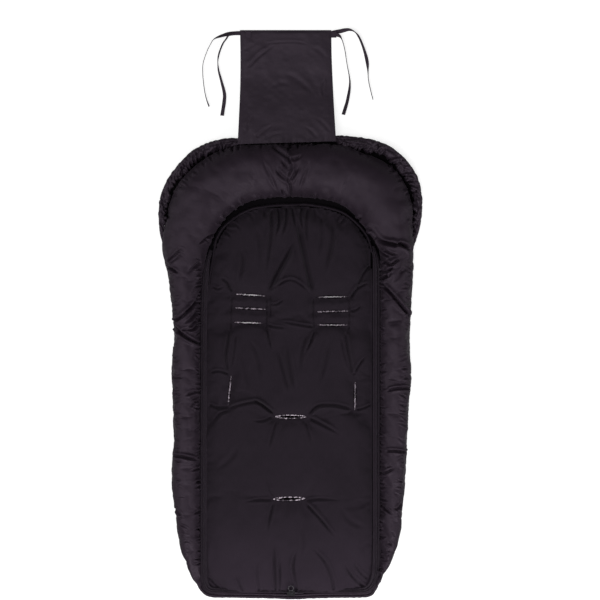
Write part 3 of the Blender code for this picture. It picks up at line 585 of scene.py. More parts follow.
def capsule(start: Array, end: Array, radius: float, sides: int = 6) -> tuple[Array, Array]:
    """Points and faces of a short rod with pointed ends.

    Args:
        start: One end.
        end: The other end.
        radius: Its radius.
        sides: Points round it.

    Returns:
        Points and four-cornered faces.
    """
    shares, sizes = np.array(ROD_SHAPE).T
    line = start + shares[:, None] * (end - start)
    rings = ring_points(line, sizes * radius, sides)
    return rings.reshape(-1, 3), grid_faces(len(line), sides, closed=True)


def stitches(line: Array, name: str, length: float, gap: float, radius: float) -> bpy.types.Object:
    """A row of thread stitches along a line.

    Args:
        line: The line that they follow.
        name: Object name.
        length: Length of a stitch.
        gap: Space between stitches.
        radius: Radius of the thread.

    Returns:
        The object.
    """
    run = travelled(line)
    starts = np.arange(0.5 * gap, run[-1] - length, length + gap)
    ends = zip(read_at(starts, run, line), read_at(starts + length, run, line))
    return joined(name, [capsule(start, end, radius) for start, end in ends])


def subdivided(made: bpy.types.Object) -> None:
    """Smooths a mesh once by subdivision.

    Args:
        made: The object.
    """
    levels = made.modifiers.new("smooth", "SUBSURF")
    levels.levels = levels.render_levels = 1
    keep_modifiers(made)


def keep_modifiers(made: bpy.types.Object) -> None:
    """Turns an object's modified shape into its mesh.

    Args:
        made: The object.
    """
    graph = bpy.context.evaluated_depsgraph_get()
    shape = bpy.data.meshes.new_from_object(made.evaluated_get(graph))
    shape.name = made.name
    made.modifiers.clear()
    made.data = shape
    made.data.shade_smooth()


@dataclass(frozen=True)
class Filling:
    """How a padded skin is blown up and settles."""

    pressure: float = 4.0
    growth: float = 0.05  # Share by which the cloth is larger than its place, which gathers it at its seams
    travel: float = 0.008  # The furthest that a point may move, in metres
    frames: int = 20  # Steps that it settles for
    bending: float = 0.4  # How stiffly the cloth bends
    stiffness: float = 20.0  # How stiffly it stretches and shortens
    quality: int = 5  # Steps worked out in a frame

    def settle(self, made: bpy.types.Object, held: Array) -> None:
        """Lets the skin settle as cloth under its filling.

        Args:
            made: The skin.
            held: How firmly each point is held, 0 to 1.
        """
        group = made.vertex_groups.new(name="seams")
        for level in np.unique(np.round(held, 1)):
            if level > 0:
                members = np.flatnonzero(np.round(held, 1) == level)
                group.add(members.tolist(), float(level), "REPLACE")
        before = read_points(made)
        cloth = made.modifiers.new("filling", "CLOTH")
        cloth.settings.vertex_group_mass = group.name
        cloth.settings.use_pressure = True
        cloth.settings.uniform_pressure_force = self.pressure
        cloth.settings.shrink_min = -self.growth
        cloth.settings.tension_stiffness = cloth.settings.compression_stiffness = self.stiffness
        cloth.settings.bending_stiffness = self.bending
        cloth.settings.quality = self.quality
        cloth.settings.effector_weights.gravity = 0
        cloth.collision_settings.use_collision = False
        cloth.point_cache.frame_start = 1
        cloth.point_cache.frame_end = self.frames
        scene = bpy.context.scene
        for moment in range(1, self.frames + 1):
            scene.frame_set(moment)
        keep_modifiers(made)
        move = read_points(made) - before
        size = np.linalg.norm(move, axis=1)
        limit = self.travel * np.tanh(size / self.travel) / np.maximum(size, TINY)
        write_points(made, before + move * limit[:, None])
        made.vertex_groups.clear()
        scene.frame_set(1)


# Shading


class Sock:
    """A shader value that arithmetic works on."""

    def __init__(self, graph: "Graph", socket: Any) -> None:
        """Wraps a socket."""
        self.graph = graph
        self.socket = socket

    def __add__(self, other: Any) -> "Sock":
        """Sum."""
        return self.graph.math("ADD", self, other)

    def __radd__(self, other: Any) -> "Sock":
        """Sum with the value on the right."""
        return self.graph.math("ADD", other, self)

    def __sub__(self, other: Any) -> "Sock":
        """Difference."""
        return self.graph.math("SUBTRACT", self, other)

    def __rsub__(self, other: Any) -> "Sock":
        """Difference with the value on the right."""
        return self.graph.math("SUBTRACT", other, self)

    def __mul__(self, other: Any) -> "Sock":
        """Product."""
        return self.graph.math("MULTIPLY", self, other)

    def __rmul__(self, other: Any) -> "Sock":
        """Product with the value on the right."""
        return self.graph.math("MULTIPLY", other, self)


class Graph:
    """A material's node graph."""

    def __init__(self, name: str) -> None:
        """Starts a material with an empty graph.

        Args:
            name: Material name.
        """
        self.material = bpy.data.materials.new(name)
        self.material.use_nodes = True
        self.tree = self.material.node_tree
        self.tree.nodes.clear()
        self.output = self.tree.nodes.new("ShaderNodeOutputMaterial")

    def node(self, kind: str, settings: dict[str, Any] | None = None,
             inputs: dict[Any, Any] | None = None) -> Any:
        """Adds a node.

        Args:
            kind: Node type.
            settings: Properties, set first.
            inputs: Values or sockets by input name or number.

        Returns:
            The node.
        """
        made = self.tree.nodes.new(kind)
        for key, value in (settings or {}).items():
            setattr(made, key, value)
        for key, value in (inputs or {}).items():
            self.feed(made.inputs[key], value)
        return made

    def feed(self, target: Any, value: Any) -> None:
        """Links or sets an input.

        Args:
            target: The input socket.
            value: A Sock, a socket or a plain value.
        """
        if isinstance(value, Sock):
            self.tree.links.new(value.socket, target)
        elif isinstance(value, bpy.types.NodeSocket):
            self.tree.links.new(value, target)
        elif isinstance(value, tuple) and len(value) == 3 and len(target.default_value) == 4:
            target.default_value = (*value, 1.0)
        else:
            target.default_value = value

    def math(self, operation: str, first: Any, second: Any = 0.0) -> Sock:
        """A number from one or two others."""
        made = self.node("ShaderNodeMath", {"operation": operation}, {0: first, 1: second})
        return Sock(self, made.outputs[0])

    def clipped(self, value: Sock) -> Sock:
        """A value kept between 0 and 1."""
        return self.math("MINIMUM", self.math("MAXIMUM", value, 0.0), 1.0)

    def mix(self, share: Any, first: Any, second: Any) -> Sock:
        """A colour between two others."""
        made = self.node("ShaderNodeMix", {"data_type": "RGBA"}, {0: share, 6: first, 7: second})
        return Sock(self, made.outputs[2])

    def tones(self, share: Sock, colour: Triple, low: float, high: float) -> Sock:
        """A colour that goes from a darker to a lighter tone."""
        dark, light = (tuple(times * part for part in colour) for times in (low, high))
        return self.mix(share, dark, light)

    def place(self, stretch: Triple = (1.0, 1.0, 1.0)) -> Sock:
        """The point's place on the object.

        Args:
            stretch: What each coordinate is multiplied by.

        Returns:
            The stretched place.
        """
        where = self.node("ShaderNodeTexCoord").outputs["Object"]
        made = self.node("ShaderNodeVectorMath", {"operation": "MULTIPLY"}, {0: where, 1: stretch})
        return Sock(self, made.outputs[0])

    def noise(self, scale: float, detail: float = 2.0, stretch: Triple = (1.0, 1.0, 1.0),
              twist: float = 0.0) -> Sock:
        """Cloudy random values about 0.5."""
        inputs = {"Vector": self.place(stretch), "Scale": scale, "Detail": detail, "Distortion": twist}
        return Sock(self, self.node("ShaderNodeTexNoise", None, inputs).outputs[0])

    def threads(self, count: float, direction: str) -> Sock:
        """Threads side by side.

        Args:
            count: Threads to a metre.
            direction: Axis across which they lie.

        Returns:
            Their height, 0 to 1.
        """
        settings = {"wave_type": "BANDS", "bands_direction": direction, "wave_profile": "SIN"}
        inputs = {"Vector": self.place(), "Scale": count / 20 * 2 * math.pi, "Distortion": 0.0}
        return Sock(self, self.node("ShaderNodeTexWave", settings, inputs).outputs["Fac"])

    def bump(self, height: Any, distance: float, strength: float = 1.0, under: Any = None) -> Any:
        """A bumped normal.

        Args:
            height: Height as a share of the distance.
            distance: Height in metres.
            strength: How strongly it shows.
            under: A normal to add to.

        Returns:
            The normal.
        """
        inputs = {"Height": height, "Distance": distance, "Strength": strength}
        if under is not None:
            inputs["Normal"] = under
        return self.node("ShaderNodeBump", None, inputs).outputs[0]

    def finish(self, inputs: dict[str, Any]) -> bpy.types.Material:
        """Closes the graph with its surface.

        Args:
            inputs: Values for the surface shader, by input name.

        Returns:
            The material.
        """
        surface = self.node("ShaderNodeBsdfPrincipled", None, inputs)
        self.tree.links.new(surface.outputs[0], self.output.inputs["Surface"])
        return self.material


@dataclass(frozen=True)
class Nylon:
    """Thin woven nylon with a soft sheen."""

    name: str
    colour: Colour = (0.0142, 0.0095, 0.0146)
    roughness: float = 0.56  # How dull it is
    shine: float = 0.22  # Strength of its reflection
    sheen: float = 0.04  # Light caught by its slopes
    crinkle: float = 0.0006  # Height of its fine crinkles, in metres

    def material(self) -> bpy.types.Material:
        """Builds the material.

        Returns:
            The material.
        """
        graph = Graph(self.name)
        clouds = graph.noise(26.0, 3.0)
        crinkles = graph.noise(95.0, 4.0, (1.0, 1.3, 1.0), 0.6)
        weave = graph.threads(1900.0, "X") * graph.threads(1900.0, "Y")
        return graph.finish({
            "Base Color": graph.tones(clouds, self.colour, 0.80, 1.16),
            "Roughness": self.roughness + 0.16 * (clouds - 0.5) + 0.08 * (crinkles - 0.5),
            "Specular IOR Level": self.shine,
            "Specular Tint": (0.96, 0.80, 0.98),
            "Sheen Weight": self.sheen,
            "Sheen Roughness": 0.35,
            "Sheen Tint": (0.94, 0.80, 0.96),
            "Normal": graph.bump(crinkles, self.crinkle, 0.55, graph.bump(weave, 0.00006, 0.25)),
        })


@dataclass(frozen=True)
class Brushed:
    """Matt brushed knit with a raised nap; painted light makes its colour paler towards the foot."""

    name: str
    colour: Colour = (0.0126, 0.0088, 0.0133)
    nap: float = 0.0007  # Height of its nap, in metres
    sheen: float = 0.03  # Light caught by the nap
    # Y at which the painted light on the foot starts, and where it is full
    toe: tuple[float, float] = (-0.34, -0.56)
    foot_painted_light: float = 2.0  # How much lighter the painted light makes it there

    def material(self) -> bpy.types.Material:
        """Builds the material.

        Returns:
            The material.
        """
        graph = Graph(self.name)
        clouds = graph.noise(11.0, 3.0)
        lumps = graph.noise(330.0, 3.0, (1.0, 0.7, 1.0))
        fibres = graph.noise(900.0, 3.0, (1.0, 0.25, 1.0))
        cloth = graph.tones(clouds * 0.5 + lumps * 0.5, self.colour, 0.66, 1.34)
        # The colour grows paler towards the foot: painted light, a brighter pool where the lamp at the foot
        # falls, not a change in the cloth
        row = graph.node("ShaderNodeSeparateXYZ", None, {0: graph.place()}).outputs["Y"]
        reach = {"Value": row, "From Min": self.toe[0], "From Max": self.toe[1]}
        toe = graph.node("ShaderNodeMapRange", {"interpolation_type": "SMOOTHSTEP"}, reach).outputs[0]
        foot_painted_light = tuple(self.foot_painted_light * part for part in self.colour)
        return graph.finish({
            "Base Color": graph.mix(Sock(graph, toe) * (0.35 + 0.5 * clouds), cloth, foot_painted_light),
            "Roughness": 0.86 + 0.10 * lumps,
            "Specular IOR Level": 0.10,
            "Sheen Weight": self.sheen,
            "Sheen Roughness": 0.6,
            "Sheen Tint": (0.92, 0.86, 0.94),
            "Normal": graph.bump(0.6 * lumps + 0.4 * fibres, self.nap, 0.6),
        })


@dataclass(frozen=True)
class Woven:
    """Ribbed woven tape."""

    name: str
    colour: Colour = (0.0125, 0.0098, 0.0130)
    ribs: float = 800.0  # Ribs to a metre
    roughness: float = 0.62  # How dull it is

    def material(self) -> bpy.types.Material:
        """Builds the material.

        Returns:
            The material.
        """
        graph = Graph(self.name)
        rib = graph.threads(self.ribs, "DIAGONAL")
        wear = graph.noise(140.0, 4.0)
        return graph.finish({
            "Base Color": graph.tones(0.55 * wear + 0.45 * rib, self.colour, 0.72, 1.40),
            "Roughness": self.roughness + 0.12 * (wear - 0.5),
            "Specular IOR Level": 0.16,
            "Specular Tint": (0.94, 0.78, 0.97),
            "Sheen Weight": 0.015,
            "Sheen Tint": (0.92, 0.78, 0.95),
            "Normal": graph.bump(0.7 * rib + 0.3 * wear, 0.00022, 0.7),
        })


@dataclass(frozen=True)
class Fleece:
    """Pale loose nap that lines the harness slots, with painted shade between its tufts."""

    name: str
    pale: Colour = (0.36, 0.305, 0.355)  # Colour at the tips
    painted_shade_between_tufts: Colour = (0.030, 0.023, 0.031)  # Painted shade between the tufts

    def material(self) -> bpy.types.Material:
        """Builds the material.

        Returns:
            The material.
        """
        graph = Graph(self.name)
        tufts = graph.noise(420.0, 4.0)
        share = graph.clipped((tufts + graph.noise(190.0, 3.0) - 0.94) * 4.5)
        return graph.finish({
            # Pale tips over painted shade where the tufts part
            "Base Color": graph.mix(share, self.painted_shade_between_tufts, self.pale),
            "Roughness": 0.9,
            "Specular IOR Level": 0.1,
            "Sheen Weight": 0.06,
            "Normal": graph.bump(tufts, 0.0008, 0.8),
        })


@dataclass(frozen=True)
class Moulded:
    """Moulded zip plastic."""

    name: str
    colour: Colour = (0.0105, 0.0080, 0.0112)
    roughness: float = 0.42  # How dull it is

    def material(self) -> bpy.types.Material:
        """Builds the material.

        Returns:
            The material.
        """
        graph = Graph(self.name)
        scuffs = graph.noise(420.0, 4.0)
        return graph.finish({
            "Base Color": graph.tones(scuffs, self.colour, 0.75, 1.5),
            "Roughness": self.roughness + 0.2 * (scuffs - 0.5),
            "Specular IOR Level": 0.28,
            "Specular Tint": (0.94, 0.82, 0.97),
            "Normal": graph.bump(scuffs, 0.0001, 0.4),
        })


@dataclass(frozen=True)
class CastMetal:
    """Lacquered cast metal, worn at its edges."""

    name: str
    lacquer: Colour = (0.006, 0.005, 0.0065)  # Colour of the lacquer
    bare: Colour = (0.050, 0.046, 0.053)  # Colour of the metal under it

    def material(self) -> bpy.types.Material:
        """Builds the material.

        Returns:
            The material.
        """
        graph = Graph(self.name)
        wear = graph.noise(520.0, 5.0)
        share = graph.clipped((wear - 0.58) * 5.0)
        return graph.finish({
            "Base Color": graph.mix(share, self.lacquer, self.bare),
            "Metallic": share * 0.9,
            "Roughness": 0.48 + 0.18 * wear,
            "Specular IOR Level": 0.16,
            "Normal": graph.bump(wear, 0.00008, 0.4),
        })


@dataclass(frozen=True)
class Sweep:
    """The white floor under the muff."""

    name: str
    colour: Colour = (0.42, 0.42, 0.42)
    lift: float = 0.74  # Light added so that it reaches white round the muff's shadow

    def material(self) -> bpy.types.Material:
        """Builds the material.

        Returns:
            The material.
        """
        graph = Graph(self.name)
        seen = Sock(graph, graph.node("ShaderNodeLightPath").outputs["Is Camera Ray"])
        grain = graph.noise(60.0, 3.0)
        return graph.finish({
            "Base Color": self.colour,
            "Roughness": 0.72 + 0.06 * grain,
            "Specular IOR Level": 0.2,
            "Emission Color": graph.mix(seen, (0.0, 0.0, 0.0), (1.0, 1.0, 1.0)),
            "Emission Strength": self.lift,
            "Normal": graph.bump(grain, 0.0003, 0.2),
        })


NYLON = Nylon("nylon shell")
# A lighter copy of the shell nylon: painted light that brightens the flat flap
FLAP_NYLON_LIT = Nylon("nylon of the flap", colour=(0.0240, 0.0178, 0.0248))
HEM_NYLON = Nylon("gathered nylon", colour=(0.0150, 0.0098, 0.0155), shine=0.36, crinkle=0.0009)
# A darker copy of the shell nylon: painted shade for the recess under the hood's edge where the piping lies
PIPING_NYLON_SHADED = Nylon("nylon of the piping", colour=(0.0058, 0.0040, 0.0061), shine=0.12)
# The back shell's cloth, darkened to near black as painted shade where it shows in the gaps between the rim
# and the liner
BACK_CLOTH_SHADED = Nylon("back cloth", colour=(0.0045, 0.0038, 0.0047), roughness=0.8, shine=0.05, sheen=0.0)
LINER = Brushed("brushed liner")
TAPE = Woven("woven zip tape", colour=(0.0112, 0.0083, 0.0116))
RIBBON = Woven("tie ribbon", colour=(0.0270, 0.0200, 0.0280), ribs=1100.0)
THREAD = Woven("sewing thread", colour=(0.022, 0.018, 0.023), ribs=2600.0, roughness=0.55)
FLEECE = Fleece("pale slot fleece")
PALE_FLEECE = Fleece("paler slot fleece", pale=(0.66, 0.57, 0.65))
PLASTIC = Moulded("moulded zip teeth")
METAL = CastMetal("lacquered slider")
RING = CastMetal("worn ring pull", lacquer=(0.030, 0.027, 0.032), bare=(0.34, 0.33, 0.35))
SWEEP = Sweep("white sweep")

Finish = Nylon | Brushed | Woven | Fleece | Moulded | CastMetal | Sweep
MADE: dict[str, bpy.types.Material] = {}


def dress(made: bpy.types.Object, finish: Finish) -> bpy.types.Object:
    """Gives an object its finish.

    Args:
        made: The object.
        finish: Its finish.

    Returns:
        The object.
    """
    if finish.name not in MADE:
        MADE[finish.name] = finish.material()
    made.data.materials.clear()
    made.data.materials.append(MADE[finish.name])
    return made


def mount(made: bpy.types.Object, finish: Finish, slot: Slot, *nodes: str, body: Body = Body.MUFF) -> None:
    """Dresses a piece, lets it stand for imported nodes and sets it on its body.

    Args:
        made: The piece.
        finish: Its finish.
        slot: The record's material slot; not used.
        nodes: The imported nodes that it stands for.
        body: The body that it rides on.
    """
    dress(made, finish)
    if nodes:
        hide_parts(*nodes)
    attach(made, body.value)


# The studio


@dataclass(frozen=True)
class Lamp:
    """A soft square lamp."""

    name: str
    place: Triple  # Where it hangs
    aim: Triple  # What it points at
    size: float  # Its side
    power: float  # Its power, in watts

    def hang(self) -> None:
        """Adds the lamp to the scene."""
        data = bpy.data.lights.new(self.name, "AREA")
        data.shape, data.size, data.energy = "SQUARE", self.size, self.power
        made = bpy.data.objects.new(self.name, data)
        bpy.context.scene.collection.objects.link(made)
        made.location = self.place
        made.rotation_euler = (Vector(self.aim) - Vector(self.place)).to_track_quat("-Z", "Y").to_euler()


@dataclass
class Studio:
    """Camera, lights and white floor of the photograph."""

    lens: float = 135.0  # Focal length, in millimetres
    sensor: float = 36.0  # Width of the sensor, in millimetres
    clip: tuple[float, float] = (0.1, 100.0)  # Nearest and furthest distance that the camera sees
    level: float = 0.02  # Height at which the picture's scale holds
    world: float = 0.16  # Strength of the white surround
    # The soft lamps
    lamps: Sequence[Lamp] = (
        Lamp("soft box above", (-0.7, -0.2, 2.3), (0.0, 0.0, 0.0), 1.6, 25.5),
        Lamp("soft box at the foot", (0.35, -1.6, 1.15), (0.0, -0.35, 0.0), 1.1, 25.5),
        Lamp("soft box left", (-2.6, 0.2, 1.2), (0.0, 0.0, 0.0), 1.6, 20.5),
        Lamp("soft box right", (2.6, -0.2, 1.2), (0.0, 0.0, 0.0), 1.6, 20.5),
    )
    floor_size: float = 30.0  # Side of the floor
    floor_rows: int = 25  # Points along a side of the floor
    floor_drop: float = 0.0003  # How far the floor lies below the muff
    flat_reach: float = 4.0  # Distance from the muff at which the floor starts to rise
    rise: float = 0.02  # How much it rises

    def build(self) -> None:
        """Sets up the camera, the lights and the floor."""
        self.place_camera()
        self.light()
        self.lay_floor()

    def place_camera(self) -> None:
        """Puts the camera straight above the middle of the picture."""
        data = bpy.data.cameras.new("camera")
        data.lens, data.sensor_width = self.lens, self.sensor
        camera = bpy.data.objects.new("camera", data)
        bpy.context.scene.collection.objects.link(camera)
        width = PHOTO.pixels * PHOTO.metres
        middle = PHOTO.middle()
        camera.location = (middle[0], middle[1], self.level + width * self.lens / self.sensor)
        data.clip_start, data.clip_end = self.clip
        bpy.context.scene.camera = camera

    def light(self) -> None:
        """Whitens the surround and hangs the lamps."""
        world = bpy.data.worlds.new("surround")
        world.use_nodes = True
        backdrop = world.node_tree.nodes["Background"]
        backdrop.inputs["Color"].default_value = (1.0, 1.0, 1.0, 1.0)
        backdrop.inputs["Strength"].default_value = self.world
        bpy.context.scene.world = world
        for lamp in self.lamps:
            lamp.hang()
        bpy.context.scene.view_settings.view_transform = "Standard"

    def lay_floor(self) -> None:
        """Lays the white floor, raised a hair towards its far edges like a paper sweep."""
        side = np.linspace(-0.5, 0.5, self.floor_rows) * self.floor_size
        x, y = np.meshgrid(side, side)
        rise = self.rise * np.maximum(np.hypot(x, y) - self.flat_reach, 0.0) ** 2 / self.floor_size
        points = np.column_stack([x.ravel(), y.ravel(), rise.ravel() - self.floor_drop])
        dress(new_mesh("floor", points, grid_faces(self.floor_rows, self.floor_rows)), SWEEP)


# The ties


@dataclass
class TieTails:
    """Four ribbon tails that leave the flap's upper corners."""

    # Picture points of each tail, from the corner to its free end
    routes: dict[str, Line] = field(default_factory=lambda: {
        "left_outer": [(240, 32), (232, 32.4), (224, 34), (214, 38), (210, 44), (207, 50), (203, 62),
                       (202.5, 73), (204, 88), (206, 98), (208.8, 106)],
        "left_inner": [(240, 32), (230, 33), (226, 38), (222, 44), (218, 56), (218, 68), (221, 80),
                       (224, 92), (224, 100), (221.8, 115)],
        "right_inner": [(331, 32.4), (338.5, 34.4), (342, 38.6), (345, 49), (347, 62), (350, 81),
                        (348, 98), (343.5, 114)],
        "right_outer": [(331, 31.8), (340, 30.2), (349.8, 28.8), (357, 33), (362.4, 43.5), (367.3, 60.3),
                        (368.7, 78.6), (371, 90), (373.3, 99)],
    })
    # Twist of each tail at even steps of its run, in quarter turns
    turns: dict[str, Sequence[float]] = field(default_factory=lambda: {
        "left_outer": [0.0, 0.1, 0.5, 0.9, 0.94, 0.96, 0.96, 0.96, 0.95, 0.92, 0.82],
        "left_inner": [0.0, 0.2, 0.65, 0.74, 0.74, 0.75, 0.78, 0.92, 0.80, 0.72, 0.65, 0.56, 0.46, 0.38, 0.34,
                       0.32, 0.30],
        "right_inner": [0.0, 0.3, 0.9, 0.97, 0.98, 0.98, 0.98, 0.98, 0.95, 0.86, 0.72, 0.6, 0.5, 0.46, 0.42,
                        0.40],
        "right_outer": [0.0, 0.05, 0.2, 0.6, 0.95, 0.80, 0.72, 0.70, 0.62, 0.48, 0.55, 0.85, 0.97, 0.98, 0.98,
                        0.98, 0.98],
    })
    width: float = 0.0080
    thickness: float = 0.0007
    cup: float = 0.0005  # How far its middle stands above its edges
    waver: Waves = ((0.04, 0.011, 0),)  # Random change of its width along its run
    clear: float = 0.0012  # Height of a flat ribbon's middle above the floor
    least: float = 0.0003  # Lowest that any of it lies
    # How much higher the inner and outer tails leave the corner
    starts: dict[str, float] = field(default_factory=lambda: {"outer": 0.0004, "inner": 0.0012})
    settled: float = 0.3  # Share of the run after which a tail is down
    rings: int = 150  # Cross-sections along a tail
    across: int = 9  # Points across one face of it

    def centre(self, name: str) -> tuple[Array, Array]:
        """A tail's centre line and its tilt.

        Args:
            name: The tail's name.

        Returns:
            The line's points, and the tilt from flat at each, in radians.
        """
        flat = even(PHOTO.places(self.routes[name]), self.rings)
        quarter = np.asarray(self.turns[name], float)[:, None]
        tilt = catmull(quarter, np.linspace(0, len(quarter) - 1, self.rings))[:, 0] * 0.5 * math.pi
        lying = self.clear + 0.5 * self.width * np.abs(np.sin(tilt))
        share = np.linspace(0, 1, self.rings)
        height = lying + self.starts[name.split("_")[1]] * (1 - ease(share / self.settled))
        return np.column_stack([flat, height]), tilt

    def build(self) -> None:
        """Makes the four tails."""
        for name in self.routes:
            line, tilt = self.centre(name)
            made = self.ribbon(name, line, tilt)
            mount(made, RIBBON, Slot.TAPE, f"tie_tail_{name}", body=Body.FLAP)

    def ribbon(self, name: str, line: Array, tilt: Array) -> bpy.types.Object:
        """Skins one ribbon with a slightly cupped section.

        Args:
            name: The tail's name.
            line: Its centre line.
            tilt: Its tilt from flat at each point.

        Returns:
            The object.
        """
        share = np.linspace(-1, 1, self.across)
        cup = self.cup * (1 - share**2)
        upper = np.column_stack([share * 0.5 * self.width, cup + 0.5 * self.thickness])
        lower = np.column_stack([share[::-1] * 0.5 * self.width, cup[::-1] - 0.5 * self.thickness])
        offset, lift = np.vstack([upper, lower]).T
        cosine, sine = np.cos(tilt)[:, None], np.sin(tilt)[:, None]
        waver = 1 + ripples(travelled(line), self.waver, len(name))
        side = (offset * cosine - lift * sine) * waver[:, None]
        height = np.maximum(line[:, None, 2] + offset * sine + lift * cosine, self.least)
        return swept(line, sideways(line), side, height, f"tie_{name}")


# The back shell and the slots


@dataclass
class HarnessSlots:
    """Ten slots for the straps, each with its fuzzy pale lips."""

    # Picture middle, half length and half opening (pixels) and tilt (degrees) of each slot
    places: dict[str, tuple[float, float, float, float, float]] = field(default_factory=lambda: {
        "shoulder_slot_lip_left_3": (250.6, 295.0, 16.0, 1.75, 3.4),
        "shoulder_slot_lip_left_2": (250.6, 308.5, 16.4, 1.50, 2.8),
        "shoulder_slot_lip_left_1": (248.9, 322.8, 15.6, 1.75, 2.0),
        "shoulder_slot_lip_right_3": (332.2, 296.9, 16.0, 1.75, -1.2),
        "shoulder_slot_lip_right_2": (332.9, 311.4, 16.4, 1.45, -1.6),
        "shoulder_slot_lip_right_1": (332.5, 325.0, 16.0, 1.65, 0.6),
        "waist_slot_lip_left": (229.5, 390.4, 15.8, 1.50, 96.0),
        "waist_slot_lip_right": (355.1, 395.9, 14.8, 1.55, 90.6),
        "crotch_slot_lip_upper": (290.8, 416.8, 16.4, 2.50, 0.0),
        "crotch_slot_lip_lower": (289.0, 499.0, 16.6, 2.60, -1.0),
    })
    rounding: tuple[float, float] = (2.2, 0.75)  # Powers that round an opening's ends
    least_gape: float = 0.0002  # Least half opening
    same_place: float = 1e-6  # Points nearer than this are one
    through: tuple[float, float] = (-0.01, 0.05)  # Heights from which and to which the slots are cut
    slit: float = 0.0006  # Half the opening left in the back cloth
    lap: float = 0.008  # How far that opening lies off a gaping slot, whose lips show apart
    roll: float = 0.00085  # Radius of the rolled lip
    gaping_roll: float = 1.3  # What it is multiplied by on a gaping slot
    groove: float = 0.00145  # Space between the lip and the liner
    gaping_groove: float = 0.62  # What it is multiplied by on a gaping slot
    lip_points: int = 60  # Points along one side of a lip
    lip_sides: int = 7  # Points round a lip
    lip_sink: float = 0.0010  # How far a lip's middle lies below the liner
    lip_rise: Waves = ((0.0005, 0.004, 40),)  # How it rises and falls
    lip_size: float = 0.95  # Its radius, as a share of the roll, before its lumps
    lip_lumps: Waves = ((0.28, 0.0024, 0), (0.14, 0.0010, 20))  # Its lumps
    fibres: int = 240  # Fibres round one slot
    fibre_length: float = 0.0014  # The longest of them
    fibre_share: tuple[float, float] = (0.25, 1.0)  # Shortest and longest, as shares of that
    fibre_rise: tuple[float, float] = (0.25, 0.8)  # Least and greatest rise of a fibre for its length
    fibre_radius: float = 0.00014  # Radius of a fibre
    root_depth: float = 0.0006  # How deep its root lies
    scatter: float = 0.00055  # How far roots lie off the lip
    inward: tuple[float, float] = (-0.5, 0.6)  # Least and greatest pull of a fibre towards the slot's middle
    stray: float = 0.7  # How much it strays from that
    lean: float = 0.55  # How far it leans for its length
    fuzz_seed: int = 5  # Picks the fibres

    def gapes(self, name: str) -> bool:
        """Whether a slot stands open, so that its two lips show apart."""
        return name.startswith("crotch")

    def inset(self, name: str) -> float:
        """How far inside the opening a slot's lip runs."""
        return self.roll + self.groove * (self.gaping_groove if self.gapes(name) else 1.0)

    def lens(self, name: str, grow: float = 0.0, count: int = 24) -> Array:
        """Outline of a slot's opening.

        Args:
            name: The slot's node.
            grow: Metres by which the outline is larger than the opening.
            count: Points on each of its two sides.

        Returns:
            The closed outline's X and Y.
        """
        column, row, half_length, half_open, tilt = self.places[name]
        reach = half_length * PHOTO.metres + grow
        gape = np.maximum(half_open * PHOTO.metres + grow, self.least_gape)
        share = np.linspace(-1, 1, count)
        bow = gape * (1 - np.abs(share) ** self.rounding[0]) ** self.rounding[1]
        upper = np.column_stack([share * reach, bow])
        lower = np.column_stack([share[::-1] * reach, -bow[::-1]])
        outline = np.vstack([upper, lower])
        apart = np.linalg.norm(np.diff(outline, axis=0), axis=1) > self.same_place
        outline = outline[np.concatenate([[True], apart])]
        return outline @ turning(-math.radians(tilt)) + PHOTO.places([(column, row)])[0]

    def middles(self) -> Array:
        """Reads where the slots lie.

        Returns:
            X, Y, half length and tilt in radians, one row a slot.
        """
        rows = []
        for column, row, half_length, _, tilt in self.places.values():
            x, y = PHOTO.places([(column, row)])[0]
            rows.append((x, y, half_length * PHOTO.metres, -math.radians(tilt)))
        return np.array(rows)

    def distance(self, points: Array) -> Array:
        """Distance of points from the nearest slot's middle line.

        Args:
            points: X and Y of each point.

        Returns:
            The distances.
        """
        nearest = np.full(len(points), np.inf)
        for x, y, reach, tilt in self.middles():
            step = np.array([math.cos(tilt), math.sin(tilt)]) * reach
            away = line_distance(points, np.array([(x, y) - step, (x, y) + step]))[0]
            nearest = np.minimum(nearest, away)
        return nearest

    def cutter(self, narrow: bool) -> bpy.types.Object:
        """One object that holds every slot's prism.

        Args:
            narrow: Leaves only a slit of each slot.

        Returns:
            The object.
        """
        parts = []
        for name, (_, _, _, half_open, _) in self.places.items():
            outline = self.lens(name, self.slit - half_open * PHOTO.metres if narrow else 0.0)
            if narrow and self.gapes(name):
                outline = outline - (0.0, self.lap)
            parts.append(prism(outline, *self.through))
        return joined("slot_cutter", parts)

    def cut(self, made: bpy.types.Object, narrow: bool = False) -> None:
        """Cuts all the slots through a closed piece.

        Args:
            made: The piece.
            narrow: Leaves only a slit of each slot.
        """
        cutter = self.cutter(narrow)
        step = made.modifiers.new("slots", "BOOLEAN")
        step.operation, step.solver, step.object = "DIFFERENCE", "EXACT", cutter
        keep_modifiers(made)
        bpy.data.objects.remove(cutter)

    def build(self, level: Callable[[Array], Array]) -> None:
        """Makes each slot's rolled lip and its loose fibres.

        Args:
            level: Height of the liner at points given as X and Y.
        """
        for order, name in enumerate(self.places):
            finish = PALE_FLEECE if self.gapes(name) else FLEECE
            lip, fuzz = self.lip(name, level, order), self.fuzz(name, level, order)
            mount(lip, finish, Slot.BINDING, name)
            mount(fuzz, finish, Slot.BINDING)

    def lip(self, name: str, level: Callable[[Array], Array], seed: int) -> bpy.types.Object:
        """The rolled lip round one slot.

        Args:
            name: The slot's node.
            level: Height of the liner at points.
            seed: Picks its lumps.

        Returns:
            The object.
        """
        outline = self.lens(name, -self.inset(name), self.lip_points)
        loop = np.vstack([outline, outline[:1]])
        run = travelled(loop)
        at = np.linspace(0, run[-1], 4 * self.lip_points + 1)
        flat = read_at(at, run, loop)
        height = level(flat) - self.lip_sink + ripples(at, self.lip_rise, seed)
        roll = self.roll * (self.gaping_roll if self.gapes(name) else 1.0)
        radius = roll * (self.lip_size + ripples(at, self.lip_lumps, seed))
        line = np.column_stack([flat, height])
        return round_tube(line, radius, name.replace("lip", "roll"), self.lip_sides)

